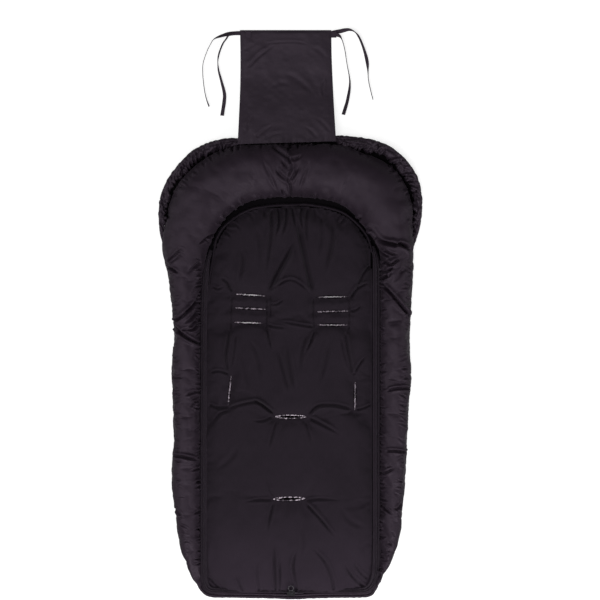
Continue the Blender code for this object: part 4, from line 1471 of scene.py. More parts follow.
    def fuzz(self, name: str, level: Callable[[Array], Array], seed: int) -> bpy.types.Object:
        """Loose fibres that stand round one slot.

        Args:
            name: The slot's node.
            level: Height of the liner at points.
            seed: Picks the fibres.

        Returns:
            The object.
        """
        dice = np.random.default_rng(seed + self.fuzz_seed)
        outline = self.lens(name, -self.inset(name), self.lip_points)
        picks = dice.integers(0, len(outline), self.fibres)
        roots = outline[picks] + dice.normal(0, self.scatter, (self.fibres, 2))
        aims = unit(outline.mean(axis=0) - roots) * dice.uniform(*self.inward, self.fibres)[:, None]
        aims = aims + dice.normal(0, self.stray, (self.fibres, 2))
        reach = self.fibre_length * dice.uniform(*self.fibre_share, self.fibres)
        tips = roots + aims * (self.lean * reach)[:, None]
        base = level(roots) - self.root_depth
        top = base + reach * dice.uniform(*self.fibre_rise, self.fibres)
        starts, ends = np.column_stack([roots, base]), np.column_stack([tips, top])
        fibres = [capsule(start, end, self.fibre_radius, 3) for start, end in zip(starts, ends)]
        return joined(name.replace("lip", "fuzz"), fibres)


@dataclass
class BackShell:
    """The plain cloth under everything, pierced by the slots."""

    # Picture points round it, inside the bolsters' outer edges
    outline: Line = (
        (204, 595), (196, 577), (189, 555), (182, 530), (180, 480), (180, 400), (180, 330), (176, 290),
        (171, 262), (165.5, 240), (163.5, 212), (166, 194), (174, 176), (187, 161), (205, 150), (229, 143),
        (262, 141), (291, 141), (322, 140), (350, 141), (372, 145), (389, 153), (402.5, 165), (412, 179),
        (416.5, 196), (416.5, 212), (414.5, 232), (408, 256), (404, 290), (402, 340), (401, 400),
        (400, 470), (396, 520), (390, 550), (381, 577), (370, 595.6), (330, 597.4), (292, 598.6),
        (245, 597.4),
    )
    points: int = 240  # Points round its mesh

    def build(self, slots: HarnessSlots) -> None:
        """Lays the shell and cuts its slots.

        Args:
            slots: The harness slots.
        """
        outline = even(PHOTO.places([*self.outline, self.outline[0]]), self.points + 1)[:-1]
        made = joined("shell_back", [prism(outline, 0.0, SHELL_LEVEL)])
        slots.cut(made, narrow=True)
        for face in made.data.polygons:
            face.use_smooth = False
        mount(made, BACK_CLOTH_SHADED, Slot.BACK, "back_shell")


# The liner


@dataclass
class LinerPad:
    """The brushed pad that the child sits on."""

    left: float = 205.6  # Picture column of its left edge
    right: float = 372.4  # Picture column of its right edge
    foot: float = 594.0  # Picture row of its foot edge
    side_rows: Sequence[float] = (520, 400)  # Picture rows of the points down its sides
    # Picture points round its arched top, from left to right
    arch: Line = (
        (205.6, 320), (206.2, 300), (208.2, 282), (211.5, 262), (218, 238), (231, 221), (250, 209.5),
        (272, 206), (290, 205.2), (312, 206), (333, 209.5), (350, 218), (364.5, 234), (371, 250),
        (372.4, 275), (372.4, 320),
    )
    edge_points: int = 900  # Points round its border
    scallop: float = 0.0012  # How far stitches draw its arch in, on average
    scallops: tuple[float, int] = (0.011, 36)  # Length and seed of the draws
    arch_start: float = 0.05  # Y from which they come in
    spacing: float = 0.0036  # Size of its mesh
    coarse: int = 6  # Every so many border points are enough for a distance
    spill: float = 0.3  # Share of the spacing by which a mesh face may lie outside
    # Shares of the spacing within which the skin is sewn down at the border and at a slot
    held: tuple[float, float] = (0.7, 1.1)
    edge: float = 0.0118  # Thickness at its edge
    crown: float = 0.0205  # Thickness of its padding
    shoulder: float = 0.035  # Distance over which it rises to that
    fullness: float = 0.7  # Power that fills out the rise
    dip: float = 0.0052  # How deep a slot draws it in
    dip_reach: float = 0.011  # How wide
    toe_length: float = 0.14  # Length over which it thins towards the foot
    toe_share: float = 0.50  # Thickness left at the foot
    filling: Filling = Filling(pressure=3.0, growth=0.045, travel=0.0045, bending=0.6)
    crispness: float = 1.9  # What every crease's depth is multiplied by
    lumps: PlaneWaves = ((0.0017, 1.0, 0.6, 0.024, 3), (0.0006, 1.0, 0.7, 0.010, 4))  # The uneven wadding
    calm: float = 0.004  # Distance from border and slots over which creases die out
    cell: float = 0.004  # Cell size of the table that its height is read from
    folds: Sequence[Fold] = (
        Fold([(295, 238), (287, 256), (277, 274), (268.5, 292)], 0.0036, 0.0036, (0.35, 0.1), 0.6, 0.6),
        Fold([(296, 214), (300, 234), (306, 262), (312.5, 292)], 0.0036, 0.0038, (0.3, 0.1), 0.6, -0.6),
        Fold([(231.5, 296), (231, 314), (230.8, 331)], 0.0018, 0.0018, (0.1, 0.1), 0.5),
        Fold([(267, 296), (267, 320), (268, 347)], 0.0018, 0.0017, (0.1, 0.3), 0.5),
        Fold([(271, 294), (270.6, 306), (270.5, 320)], 0.0014, 0.0017, (0.1, 0.3), 0.5),
        Fold([(313, 297), (313, 312), (314, 329)], 0.0018, 0.0018, (0.1, 0.1), 0.5),
        Fold([(349.2, 298), (349.4, 314), (349, 331)], 0.0018, 0.0018, (0.1, 0.1), 0.5),
        Fold([(268, 293), (279, 284), (291, 279.5), (302, 285),
              (314, 297)], 0.0017, 0.0021, (0.15, 0.35), 0.7, 0.6),
        Fold([(271, 208), (272, 225), (269, 250), (266, 280)], 0.0022, 0.0032, (0.05, 0.5), 0.7),
        Fold([(278, 207), (279, 222), (274, 240)], 0.0026, 0.0024, (0.05, 0.5), 0.7),
        Fold([(286, 207), (286, 220), (281, 240)], 0.0026, 0.0026, (0.05, 0.5), 0.7),
        Fold([(292, 207), (294, 218), (296, 232)], 0.0028, 0.0022, (0.05, 0.5), 0.7),
        Fold([(301, 207), (301, 218), (304, 236)], 0.0026, 0.0022, (0.05, 0.5), 0.7),
        Fold([(308, 208), (306, 224), (308, 246)], 0.0018, 0.0028, (0.05, 0.5), 0.7),
        Fold([(333, 216), (332, 240), (324, 276)], 0.0022, 0.0040, (0.2, 0.4), 0.7, 0.3),
        Fold([(320, 212), (322, 232), (317, 262)], 0.0014, 0.0034, (0.2, 0.4), 0.7),
        Fold([(241, 246), (243, 262), (238, 286)], 0.0018, 0.0034, (0.3, 0.4), 0.7),
        Fold([(256, 222), (260, 245), (258, 270)], 0.0012, 0.0040, (0.3, 0.4), 0.7),
        Fold([(232, 292), (226, 281), (219, 277)], 0.0030, 0.0024, (0.1, 0.4), 0.6, 0.3),
        Fold([(351, 298), (358, 288), (370, 282)], 0.0028, 0.0024, (0.1, 0.3), 0.6, 0.3),
        Fold([(357, 289), (363, 274), (372, 264)], 0.0024, 0.0024, (0.2, 0.2)),
        Fold([(212, 286), (218, 289), (224, 286)], 0.0020, 0.0018, (0.15, 0.35), 0.5),
        Fold([(267, 325), (276, 327), (288, 328)], 0.0022, 0.0018, (0.1, 0.4)),
        Fold([(280, 321), (296, 324), (314, 327)], 0.0024, 0.0020, (0.4, 0.1)),
        Fold([(267, 329), (269, 338), (272, 352)], 0.0024, 0.0020, (0.1, 0.5)),
        Fold([(230, 329), (228, 340), (226, 356), (228, 372)], 0.0026, 0.0024, (0.1, 0.2)),
        Fold([(236, 333), (234, 352), (230, 372)], 0.0016, 0.0020, (0.15, 0.35)),
        Fold([(315, 331), (310, 343), (303, 357)], 0.0024, 0.0024, (0.1, 0.5)),
        Fold([(345, 331), (348, 350), (353, 376)], 0.0028, 0.0024, (0.1, 0.1), 0.6, 0.3),
        Fold([(341, 336), (345, 356), (352, 378)], 0.0014, 0.0020, (0.15, 0.35), 0.5),
        Fold([(353, 376), (359, 365), (367, 354)], 0.0024, 0.0022, (0.1, 0.4)),
        Fold([(270, 304), (277, 304), (284, 299)], 0.0018, 0.0018, (0.15, 0.35), 0.5),
        Fold([(349, 311), (356, 310), (362, 304)], 0.0020, 0.0020, (0.15, 0.35), 0.5),
        Fold([(287, 338), (289, 360), (294, 392)], 0.0020, 0.0036, (0.3, 0.3)),
        Fold([(277, 346), (283, 368), (290, 396)], 0.0018, 0.0032, (0.3, 0.3)),
        Fold([(307, 334), (302, 352), (300, 374)], 0.0018, 0.0034, (0.2, 0.5), 0.7, 0.3),
        Fold([(249, 338), (258, 356), (262, 384)], 0.0014, 0.0038, (0.3, 0.4), 0.7),
        Fold([(329, 336), (326, 358), (318, 388)], 0.0014, 0.0038, (0.3, 0.4), 0.7),
        Fold([(240, 346), (246, 372), (252, 398)], 0.0012, 0.0040, (0.3, 0.4), 0.7),
        Fold([(216, 470), (232, 456), (240, 440)], 0.0010, 0.0046, (0.3, 0.4), 0.7),
        Fold([(366, 528), (350, 520), (340, 506)], 0.0010, 0.0046, (0.3, 0.4), 0.7),
        Fold([(300, 520), (303, 540), (300, 560)], 0.0010, 0.0036, (0.3, 0.4), 0.7),
        Fold([(210, 373), (219, 371), (229, 374)], 0.0026, 0.0020, (0.2, 0.1), 0.5),
        Fold([(208, 404), (219, 408), (229, 407)], 0.0022, 0.0022, (0.2, 0.1), 0.5),
        Fold([(229, 408), (242, 404), (256, 402), (266, 408),
              (275, 415)], 0.0026, 0.0026, (0.1, 0.1), 0.6, 0.6),
        Fold([(252, 399), (262, 404), (273, 413)], 0.0022, 0.0024, (0.2, 0.1)),
        Fold([(308, 415), (318, 406), (334, 405), (352, 409)], 0.0028, 0.0026, (0.1, 0.1), 0.6, -0.5),
        Fold([(309, 418), (322, 424), (342, 435)], 0.0030, 0.0028, (0.1, 0.5), 0.6, 0.5),
        Fold([(356, 410), (364, 408), (372, 404)], 0.0022, 0.0020, (0.1, 0.2), 0.5),
        Fold([(229, 410), (220, 414), (212, 424)], 0.0020, 0.0024, (0.1, 0.4), 0.5),
        Fold([(272, 417), (262, 421), (250, 420)], 0.0018, 0.0020, (0.1, 0.5), 0.5),
        Fold([(276, 421), (272, 436), (268, 452)], 0.0018, 0.0024, (0.1, 0.5), 0.5),
        Fold([(305, 421), (309, 434), (312, 446)], 0.0016, 0.0022, (0.1, 0.5), 0.5),
        Fold([(272, 500), (258, 500), (240, 502)], 0.0020, 0.0022, (0.1, 0.6)),
        Fold([(306, 501), (320, 499), (342, 500)], 0.0018, 0.0022, (0.1, 0.6)),
        Fold([(306, 503), (320, 518), (338, 540)], 0.0028, 0.0026, (0.1, 0.5), 0.6, 0.4),
        Fold([(273, 503), (270, 516), (267, 534)], 0.0022, 0.0024, (0.1, 0.5)),
        Fold([(274, 497), (269, 488), (267, 476)], 0.0014, 0.0020, (0.1, 0.6), 0.5),
        Fold([(274, 540), (274.5, 566), (276, 592)], 0.0030, 0.0024, (0.4, 0.05), 0.6, 0.3),
        Fold([(279, 556), (279.5, 574), (279, 592)], 0.0026, 0.0020, (0.4, 0.05)),
        Fold([(297, 548), (293, 566), (297, 592)], 0.0032, 0.0024, (0.4, 0.05), 0.6, -0.3),
        Fold([(289, 566), (292, 580), (295, 591)], 0.0024, 0.0019, (0.4, 0.05)),
        Fold([(310, 545), (324, 560), (331, 576), (334, 592)], 0.0024, 0.0026, (0.4, 0.05)),
        Fold([(344, 562), (352, 576), (366, 590)], 0.0024, 0.0024, (0.4, 0.05)),
        Fold([(352, 560), (360, 572), (368, 580)], 0.0018, 0.0020, (0.4, 0.05)),
        Fold([(236, 574), (239, 583), (243, 592)], 0.0020, 0.0020, (0.4, 0.05)),
        Fold([(206, 576), (213, 583), (221, 592)], 0.0022, 0.0020, (0.3, 0.05)),
        Fold([(257, 560), (257, 576), (259, 592)], 0.0014, 0.0024, (0.4, 0.05)),
    )

    def border(self) -> Array:
        """Follows the pad's edge, from the foot's left corner over its scalloped arch to the right one.

        Returns:
            X and Y of its points.
        """
        sides = [(self.left, row) for row in (self.foot, *self.side_rows)]
        other = [(self.right, row) for row in (*self.side_rows[::-1], self.foot)]
        line = even(PHOTO.places([*sides, *self.arch, *other]), self.edge_points)
        arched = ease((line[:, 1] - self.arch_start) / self.arch_start)
        draw = self.scallop * (1 + wander(travelled(line), *self.scallops)) * arched
        return line - sideways(line) * draw[:, None]

    def toe(self) -> float:
        """Y of the foot edge."""
        return PHOTO.places([(0, self.foot)])[0][1]

    def inside(self, points: Array, border: Array) -> Array:
        """How far points lie inside the pad's border."""
        reach, side, _ = line_distance(points, border)
        return np.minimum(np.where(side < 0, reach, -reach), points[:, 1] - self.toe())

    def skin(self, slots: HarnessSlots, border: Array) -> tuple[bpy.types.Object, Array]:
        """Lays the pad's upper skin over its wadding.

        Args:
            slots: The slots that it is held down at.
            border: X and Y round the pad.

        Returns:
            The skin, and how firmly each of its points is held.
        """
        low, high = border.min(axis=0), border.max(axis=0)
        columns, rows = (int(size / self.spacing) + 1 for size in high - low)
        x, y = np.meshgrid(np.linspace(low[0], high[0], columns), np.linspace(low[1], high[1], rows))
        flat = np.column_stack([x.ravel(), y.ravel()])
        depth = self.inside(flat, border[::self.coarse])
        faces = grid_faces(rows, columns)
        faces = faces[(depth[faces] > -self.spill * self.spacing).all(axis=1)]
        used = np.unique(faces)
        number = np.full(len(flat), -1)
        number[used] = np.arange(len(used))
        flat, depth, faces = flat[used], depth[used], number[faces]
        outer = depth < 0
        nearest = ((flat[outer][:, None] - border[None]) ** 2).sum(axis=2).argmin(axis=1)
        flat[outer] = border[nearest]
        near_slot = slots.distance(flat)
        height = self.rest_height(flat, np.maximum(depth, 0), near_slot)
        sewn, tacked = (share * self.spacing for share in self.held)
        held = np.where((depth < sewn) | (near_slot < tacked), 1.0, 0.0)
        return new_mesh("liner_pad", np.column_stack([flat, height]), faces), held

    def build(self, slots: HarnessSlots) -> Callable[[Array], Array]:
        """Makes the pad.

        Args:
            slots: The slots to hold it down at and to cut through it.

        Returns:
            A function that gives the pad's height at points.
        """
        border = self.border()
        made, held = self.skin(slots, border)
        self.filling.settle(made, held)
        subdivided(made)
        points = read_points(made)
        flat = points[:, :2].copy()
        inner = ease(self.inside(flat, border[::self.coarse]) / self.calm)
        gathers = Gathers(self.arch[4:-4], -1.0, spacing=0.012, length=(0.010, 0.034), depth=(0.0006, 0.0020),
                          width=(0.0018, 0.0034), slant=22.0, seed=97)
        creases = folded(flat, [*self.folds, *gathers.folds()]) * ease(slots.distance(flat) / self.calm)
        points[:, 2] += (self.crispness * creases + swells(flat, self.lumps)) * inner
        write_points(made, points)
        level = self.level_reader(points)
        self.close(made)
        slots.cut(made)
        mount(made, LINER, Slot.LINER, "liner_cover", *[f"liner_wadding_{n}" for n in range(1, 9)])
        return level

    def rest_height(self, flat: Array, depth: Array, near_slot: Array) -> Array:
        """Height of the pad before it settles.

        Args:
            flat: X and Y of its points.
            depth: How far each lies inside the border.
            near_slot: How far each lies from the nearest slot.

        Returns:
            The heights.
        """
        dome = self.edge + (self.crown - self.edge) * ease(depth / self.shoulder) ** self.fullness
        dip = self.dip * np.exp(-((near_slot / self.dip_reach) ** 2))
        full = ease((flat[:, 1] - self.toe()) / self.toe_length)
        return (dome - dip) * (self.toe_share + (1 - self.toe_share) * full)

    def level_reader(self, points: Array) -> Callable[[Array], Array]:
        """A function that reads the pad's height.

        Args:
            points: The pad's upper points.

        Returns:
            A function from X and Y to height.
        """
        start = points[:, :2].min(axis=0)
        column, row = np.floor((points[:, :2] - start) / self.cell).astype(int).T
        shape = (column.max() + 1, row.max() + 1)
        total, count = np.zeros(shape), np.zeros(shape)
        np.add.at(total, (column, row), points[:, 2])
        np.add.at(count, (column, row), 1.0)
        table = total / np.maximum(count, 1)

        def level(flat: Array) -> Array:
            """Reads the pad's height.

            Args:
                flat: X and Y of each place.

            Returns:
                The height at each.
            """
            where = np.clip((flat - start) / self.cell - 0.5, 0, np.array(shape) - 1.001)
            low = where.astype(int)
            return between(table, *low.T, *(where - low).T)

        return level

    def close(self, made: bpy.types.Object) -> None:
        """Closes the pad with walls down to its flat underside.

        Args:
            made: The pad's upper skin.
        """
        work = bmesh.new()
        work.from_mesh(made.data)
        rim = [edge for edge in work.edges if edge.is_boundary]
        grown = bmesh.ops.extrude_edge_only(work, edges=rim)["geom"]
        for item in grown:
            if isinstance(item, bmesh.types.BMVert):
                item.co.z = BASE_LEVEL
        bottom = [item for item in grown if isinstance(item, bmesh.types.BMEdge) and item.is_boundary]
        bmesh.ops.contextual_create(work, geom=bottom)
        bmesh.ops.recalc_face_normals(work, faces=work.faces[:])
        work.to_mesh(made.data)
        work.free()
        made.data.shade_smooth()


@dataclass
class LinerPiping:
    """Piping sewn round the liner's arch."""

    # Picture points along it
    line: Line = (
        (208.5, 290), (211, 269), (217, 237.5), (231, 220.5), (250.5, 209), (274, 205.6), (290, 204.8),
        (313, 205), (338, 210.5), (352, 218.5), (366.6, 235), (372.5, 252),
    )
    radius: float = 0.0029
    level: float = 0.0102  # Height of its middle
    waver: Waves = ((0.0005, 0.012, 31),)  # How it wavers from side to side
    rise: Waves = ((0.0006, 0.02, 32),)  # How it rises and falls
    swell: Waves = ((0.12, 0.006, 33),)  # How its radius changes
    rings: int = 420  # Cross-sections along it

    def build(self) -> None:
        """Makes the piping, wavering a little along its seam."""
        flat = even(PHOTO.places(self.line), self.rings)
        run = travelled(flat)
        flat = flat + sideways(flat) * ripples(run, self.waver)[:, None]
        line = np.column_stack([flat, self.level + ripples(run, self.rise)])
        made = round_tube(line, self.radius * (1 + ripples(run, self.swell)), "arch_piping", 12)
        mount(made, PIPING_NYLON_SHADED, Slot.NYLON, "liner_piping")


# The puffed rim


@dataclass
class PuffyRim:
    """Both bolsters and the hood, as one puffed roll round the liner."""

    # Picture points of its inner seam, from the left foot tip to the right
    inner: Line = (
        (201.5, 586), (201, 575), (200.5, 560), (200, 540), (200, 510), (200, 475), (200, 440), (200, 405),
        (200, 370), (200, 335), (200.5, 300), (202.5, 278), (206.5, 258), (211.5, 242), (218, 229),
        (228, 216.5),
        (240, 206.5), (255, 200.5), (272, 198), (289.5, 197.5), (307, 198.5), (325, 200), (341, 205),
        (354, 215), (366, 231), (376, 243), (379.5, 255), (380, 270), (380.5, 300), (380.5, 335),
        (380.5, 370), (380.5, 405), (380.5, 440), (380.5, 475), (380.5, 510), (380.5, 540), (380.5, 562),
        (379, 574), (376.8, 584.5),
    )
    # The outer edge at the same stations
    outer: Line = (
        (199.5, 588), (193, 578), (186.8, 562), (180.3, 541), (176, 510), (172.8, 475), (173.5, 440),
        (172.8, 405),
        (172, 370), (173.5, 335), (170.8, 300), (167.2, 272), (163.2, 251), (164, 236), (168.5, 218),
        (172.5, 199.5), (183, 180), (206.5, 159.5), (241, 146.5), (289.5, 143.8), (338, 145.5), (363.5, 154),
        (386, 164), (399.5, 177.5), (407.5, 192.5), (411.5, 212), (413, 230), (413.5, 250), (412.3, 290),
        (410.5, 335), (411, 370), (409.3, 405), (407.5, 440), (405.5, 475), (401.5, 510), (396.8, 540),
        (390, 562), (382.7, 577), (377.4, 587),
    )
    # Height at stations, as station number and metres
    heights: Line = (
        (0, 0.010), (1, 0.020), (3, 0.034), (6, 0.041), (10, 0.043), (12, 0.045), (14, 0.052), (17, 0.057),
        (19, 0.055), (21, 0.057), (24, 0.054), (26, 0.047), (28, 0.043), (32, 0.041), (35, 0.034),
        (37, 0.020), (38, 0.010),
    )
    rings: int = 760  # Cross-sections along it
    around: int = 40  # Points round a cross-section
    fine: int = 4000  # Places tried when they are spaced
    smoothing: int = 20  # Cross-sections to each side that a height is averaged over
    upper: float = 0.72  # Share of the points that lie on top
    bulge: float = 0.80  # Power that fills out its sides
    # Power that fills out its top at the inner edge, and what is added at the outer
    crest: tuple[float, float] = (0.68, 0.40)
    tuck: float = 0.02  # Share of the width by which its underside is drawn in
    seam_heights: tuple[float, float] = (0.0075, 0.0040)  # Height of its inner and outer seam
    sewn: float = 0.03  # Share of the height below which the skin is held
    filling: Filling = Filling(pressure=4.0, growth=0.035, travel=0.0070, bending=0.5)
    seam_puckers: Waves = ((0.0007, 0.0058, 41),)  # Puckers along the inner seam
    seam_pleats: Waves = ((0.0010, 0.013, 42),)  # Slanting ones there
    edge_puckers: Waves = ((0.0008, 0.0070, 43), (0.0010, 0.017, 44))  # Puckers along the outer edge
    pucker_reach: tuple[float, float] = (0.011, 0.010)  # How far both kinds reach over the roll
    lumps: PlaneWaves = ((0.0018, 1.0, 1.0, 0.034, 45), (0.0009, 1.2, 1.0, 0.015, 46))  # The uneven wadding
    puffs: PlaneWaves = ((0.0016, 1.0, 0.8, 0.021, 47),)  # Lumps that only stand out
    side_share: float = 0.04  # Share of folds and lumps that is left on the roll's walls
    stand: float = 0.0062  # The most that a ridge stands proud
    # The gathered seams
    seams: Sequence[Gathers] = (
        Gathers([(201, 575), (200, 510), (200, 405), (200, 300), (201, 262)], 1.0, 0.0062,
                (0.005, 0.017), (0.0012, 0.0044), seed=91),
        Gathers([(380.5, 262), (380.5, 300), (380.5, 405), (380.5, 510), (379.5, 575)], 1.0, 0.0062,
                (0.005, 0.017), (0.0012, 0.0044), seed=92),
        Gathers([(206, 250), (216, 229), (240, 206), (272, 198), (307, 198.5), (341, 205), (366, 231)], 1.0,
                0.0105, (0.005, 0.015), (0.0016, 0.0050), (0.0020, 0.0040), 28.0, 93),
        Gathers([(166, 238), (173, 199), (207, 160), (241, 147), (289, 145), (338, 146), (386, 164),
                 (407, 192), (411, 236)], -1.0, 0.013, (0.005, 0.015), (0.0010, 0.0034), (0.0018, 0.0036),
                30.0, 94),
        Gathers([(190, 570), (179, 510), (175, 405), (173, 300), (168, 255)], -1.0, 0.011,
                (0.006, 0.024), (0.0006, 0.0026), seed=95),
        Gathers([(410, 255), (407, 335), (404, 450), (398, 515), (386, 565)], -1.0, 0.011,
                (0.006, 0.024), (0.0006, 0.0026), seed=96),
    )
    folds: Sequence[Fold] = (
        Fold([(174, 322), (184, 315), (195, 303), (201, 286)], 0.0100, 0.0023, (0.05, 0.2), 0.4, 0.4),
        Fold([(173, 325), (184, 335), (203, 347)], 0.0100, 0.0024, (0.05, 0.15), 0.4, -0.4),
        Fold([(187, 330), (195, 328), (200, 314)], 0.0060, 0.0020, (0.1, 0.2), 0.5),
        Fold([(184, 324), (192, 318), (200, 306)], 0.0035, 0.0020, (0.2, 0.2)),
        Fold([(180, 331), (190, 327), (198, 316)], 0.0030, 0.0018, (0.2, 0.2)),
        Fold([(173, 377), (178, 378), (184, 376)], 0.0036, 0.0020, (0.05, 0.5), 0.5),
        Fold([(203, 392), (194, 392), (184, 396)], 0.0040, 0.0024, (0.05, 0.4)),
        Fold([(203, 398), (196, 402), (190, 408)], 0.0032, 0.0020, (0.05, 0.4)),
        Fold([(173, 412), (177, 413), (182, 411)], 0.0034, 0.0020, (0.05, 0.5), 0.5),
        Fold([(174, 455), (184, 456), (199, 460)], 0.0070, 0.0024, (0.05, 0.3), 0.6, 0.3),
        Fold([(203, 470), (197, 469), (190, 471)], 0.0040, 0.0020, (0.05, 0.4)),
        Fold([(175, 508), (179, 512), (183, 518)], 0.0038, 0.0022, (0.05, 0.4), 0.5),
        Fold([(216, 233), (208, 237), (199, 246)], 0.0085, 0.0016, (0.05, 0.3), 0.4, 0.3),
        Fold([(209, 239), (209.5, 243), (210, 248)], -0.0035, 0.0020, (0.3, 0.4), 0.0),
        Fold([(201, 261), (196, 266), (188, 274)], 0.0050, 0.0028, (0.1, 0.5), 0.5),
        Fold([(168.5, 263), (175, 256), (185, 245)], 0.0075, 0.0017, (0.12, 0.4), 0.5),
        Fold([(171, 264), (178, 258), (184, 252)], 0.0055, 0.0015, (0.1, 0.35), 0.5),
        Fold([(169, 266.5), (174, 270), (180, 275)], 0.0085, 0.0022, (0.05, 0.5), 0.4),
        Fold([(363, 227), (371, 230.5), (377, 238), (384, 242.5), (392, 244.5),
              (399, 246)], 0.0190, 0.0030, (0.1, 0.1), 0.3, 0.8),
        Fold([(396, 243.5), (403, 245.5), (408, 248.5),
              (410.5, 252)], 0.0170, 0.0028, (0.15, 0.45), 0.2, 0.6),
        Fold([(375.5, 237), (378, 243), (383.5, 251), (389, 257)], -0.0065, 0.0014, (0.1, 0.3), 0.0),
        Fold([(391, 238), (398, 245.5), (405, 250), (410, 257)], -0.0075, 0.0014, (0.1, 0.25), 0.0),
        Fold([(377, 247), (384, 254), (390, 258)], 0.0060, 0.0020, (0.1, 0.3), 0.5, 0.3),
        Fold([(384, 250), (391, 254), (397, 255)], 0.0050, 0.0018, (0.1, 0.3), 0.5),
        Fold([(378, 263), (383, 265), (386, 261)], 0.0090, 0.0020, (0.1, 0.2)),
        Fold([(386, 262), (391, 265), (398, 259)], 0.0085, 0.0022, (0.1, 0.2)),
        Fold([(380, 271), (387, 272), (393, 267)], 0.0090, 0.0022, (0.1, 0.2)),
        Fold([(379, 281), (384, 279), (388, 273)], 0.0085, 0.0020, (0.1, 0.2)),
        Fold([(385, 279), (389, 276), (392, 271)], 0.0044, 0.0018, (0.1, 0.3)),
        Fold([(380, 281), (392, 295), (410, 317)], 0.0100, 0.0024, (0.1, 0.1), 0.6, 0.4),
        Fold([(402, 268), (398, 276), (392, 284)], 0.0030, 0.0030, (0.2, 0.4)),
        Fold([(386, 391), (396, 388), (410, 388)], 0.0056, 0.0022, (0.2, 0.05), 0.6, 0.3),
        Fold([(385, 451), (394, 450), (407, 452)], 0.0060, 0.0022, (0.2, 0.05), 0.6, 0.3),
        Fold([(379, 474), (386, 472), (394, 467)], 0.0046, 0.0022, (0.1, 0.3)),
        Fold([(380, 505), (386, 509), (392, 514)], 0.0036, 0.0020, (0.1, 0.3)),
        Fold([(402, 503), (399, 506), (395, 509)], 0.0036, 0.0020, (0.1, 0.3)),
        Fold([(290.5, 146), (287, 154), (290, 162), (292, 170), (288, 179), (291, 188),
              (290, 200)], 0.0042, 0.0019, (0.05, 0.05), 0.5),
        Fold([(272, 148), (280, 153), (288, 158.5)], 0.0080, 0.0026, (0.1, 0.1), 0.6, 0.6),
        Fold([(277, 147), (284, 150), (291, 150)], 0.0050, 0.0020, (0.1, 0.2)),
        Fold([(282, 162), (286, 167), (291, 170)], 0.0054, 0.0024, (0.2, 0.1)),
        Fold([(290, 160), (296, 160), (303, 156)], 0.0056, 0.0026, (0.1, 0.4)),
        Fold([(276, 171), (282, 177), (289, 182)], 0.0064, 0.0028, (0.2, 0.1), 0.6, 0.4),
        Fold([(299, 168), (295, 175), (290, 182)], 0.0046, 0.0026, (0.3, 0.1)),
        Fold([(281, 190), (285, 194), (290, 196)], 0.0050, 0.0022, (0.2, 0.1)),
        Fold([(310, 160), (305, 175), (299, 190)], 0.0022, 0.0030, (0.4, 0.3)),
        Fold([(262, 160), (270, 176), (278, 192)], 0.0018, 0.0030, (0.4, 0.3)),
    )

    def gathers(self) -> list[Fold]:
        """The small creases along the roll's seams."""
        return [fold for seam in self.seams for fold in seam.folds()]

    def stations(self) -> tuple[Array, Array, Array]:
        """Spaces cross-sections evenly along the roll.

        Returns:
            Inner edge, outer edge and height at each.
        """
        inner, outer = PHOTO.places(self.inner), PHOTO.places(self.outer)
        dense = np.linspace(0, len(inner) - 1, self.fine)
        run = travelled(0.5 * (catmull(inner, dense) + catmull(outer, dense)))
        at = np.interp(np.linspace(0, run[-1], self.rings), run, dense)
        tall, window = marked(at, self.heights), 2 * self.smoothing + 1
        longer = np.pad(tall, self.smoothing, mode="edge")
        smooth = np.convolve(longer, np.ones(window) / window, mode="valid")
        return catmull(inner, at), catmull(outer, at), smooth

    def section(self) -> Array:
        """Shapes the roll's cross-section.

        Returns:
            Share of the width and of the height of each point, the height below zero underneath.
        """
        upper = int(self.around * self.upper)
        turn = np.linspace(math.pi, 0.0, upper)
        side = 0.5 + 0.5 * np.sign(np.cos(turn)) * np.abs(np.cos(turn)) ** self.bulge
        rise = np.sin(turn) ** (self.crest[0] + self.crest[1] * ease(side))
        lower = np.linspace(1, 0, self.around - upper + 2)[1:-1]
        under = np.column_stack([self.tuck + (1 - 2 * self.tuck) * lower, np.full(len(lower), -1.0)])
        return np.vstack([np.column_stack([side, rise]), under])

    def build(self) -> None:
        """Makes the roll, lets it settle and creases it."""
        inside, outside, tall = self.stations()
        share, rise = self.section().T
        seam = np.minimum(np.where(share < 0.5, *self.seam_heights)[None], 0.5 * tall[:, None])
        top = seam + (tall[:, None] - seam) * np.maximum(rise, 0)
        height = np.where(rise < 0, BASE_LEVEL, top)
        made = swept(inside, outside - inside, np.tile(share, (self.rings, 1)), height, "puffed_rim")
        self.filling.settle(made, np.tile(np.where(rise <= self.sewn, 1.0, 0.0), self.rings))
        subdivided(made)
        self.crease(made, inside, outside)
        pieces = ("side_cover", "side_wadding", "hood_cover", "hood_wadding")
        nodes = [f"{piece}_{side}" for piece in pieces for side in ("left", "right")]
        mount(made, NYLON, Slot.NYLON, *nodes)

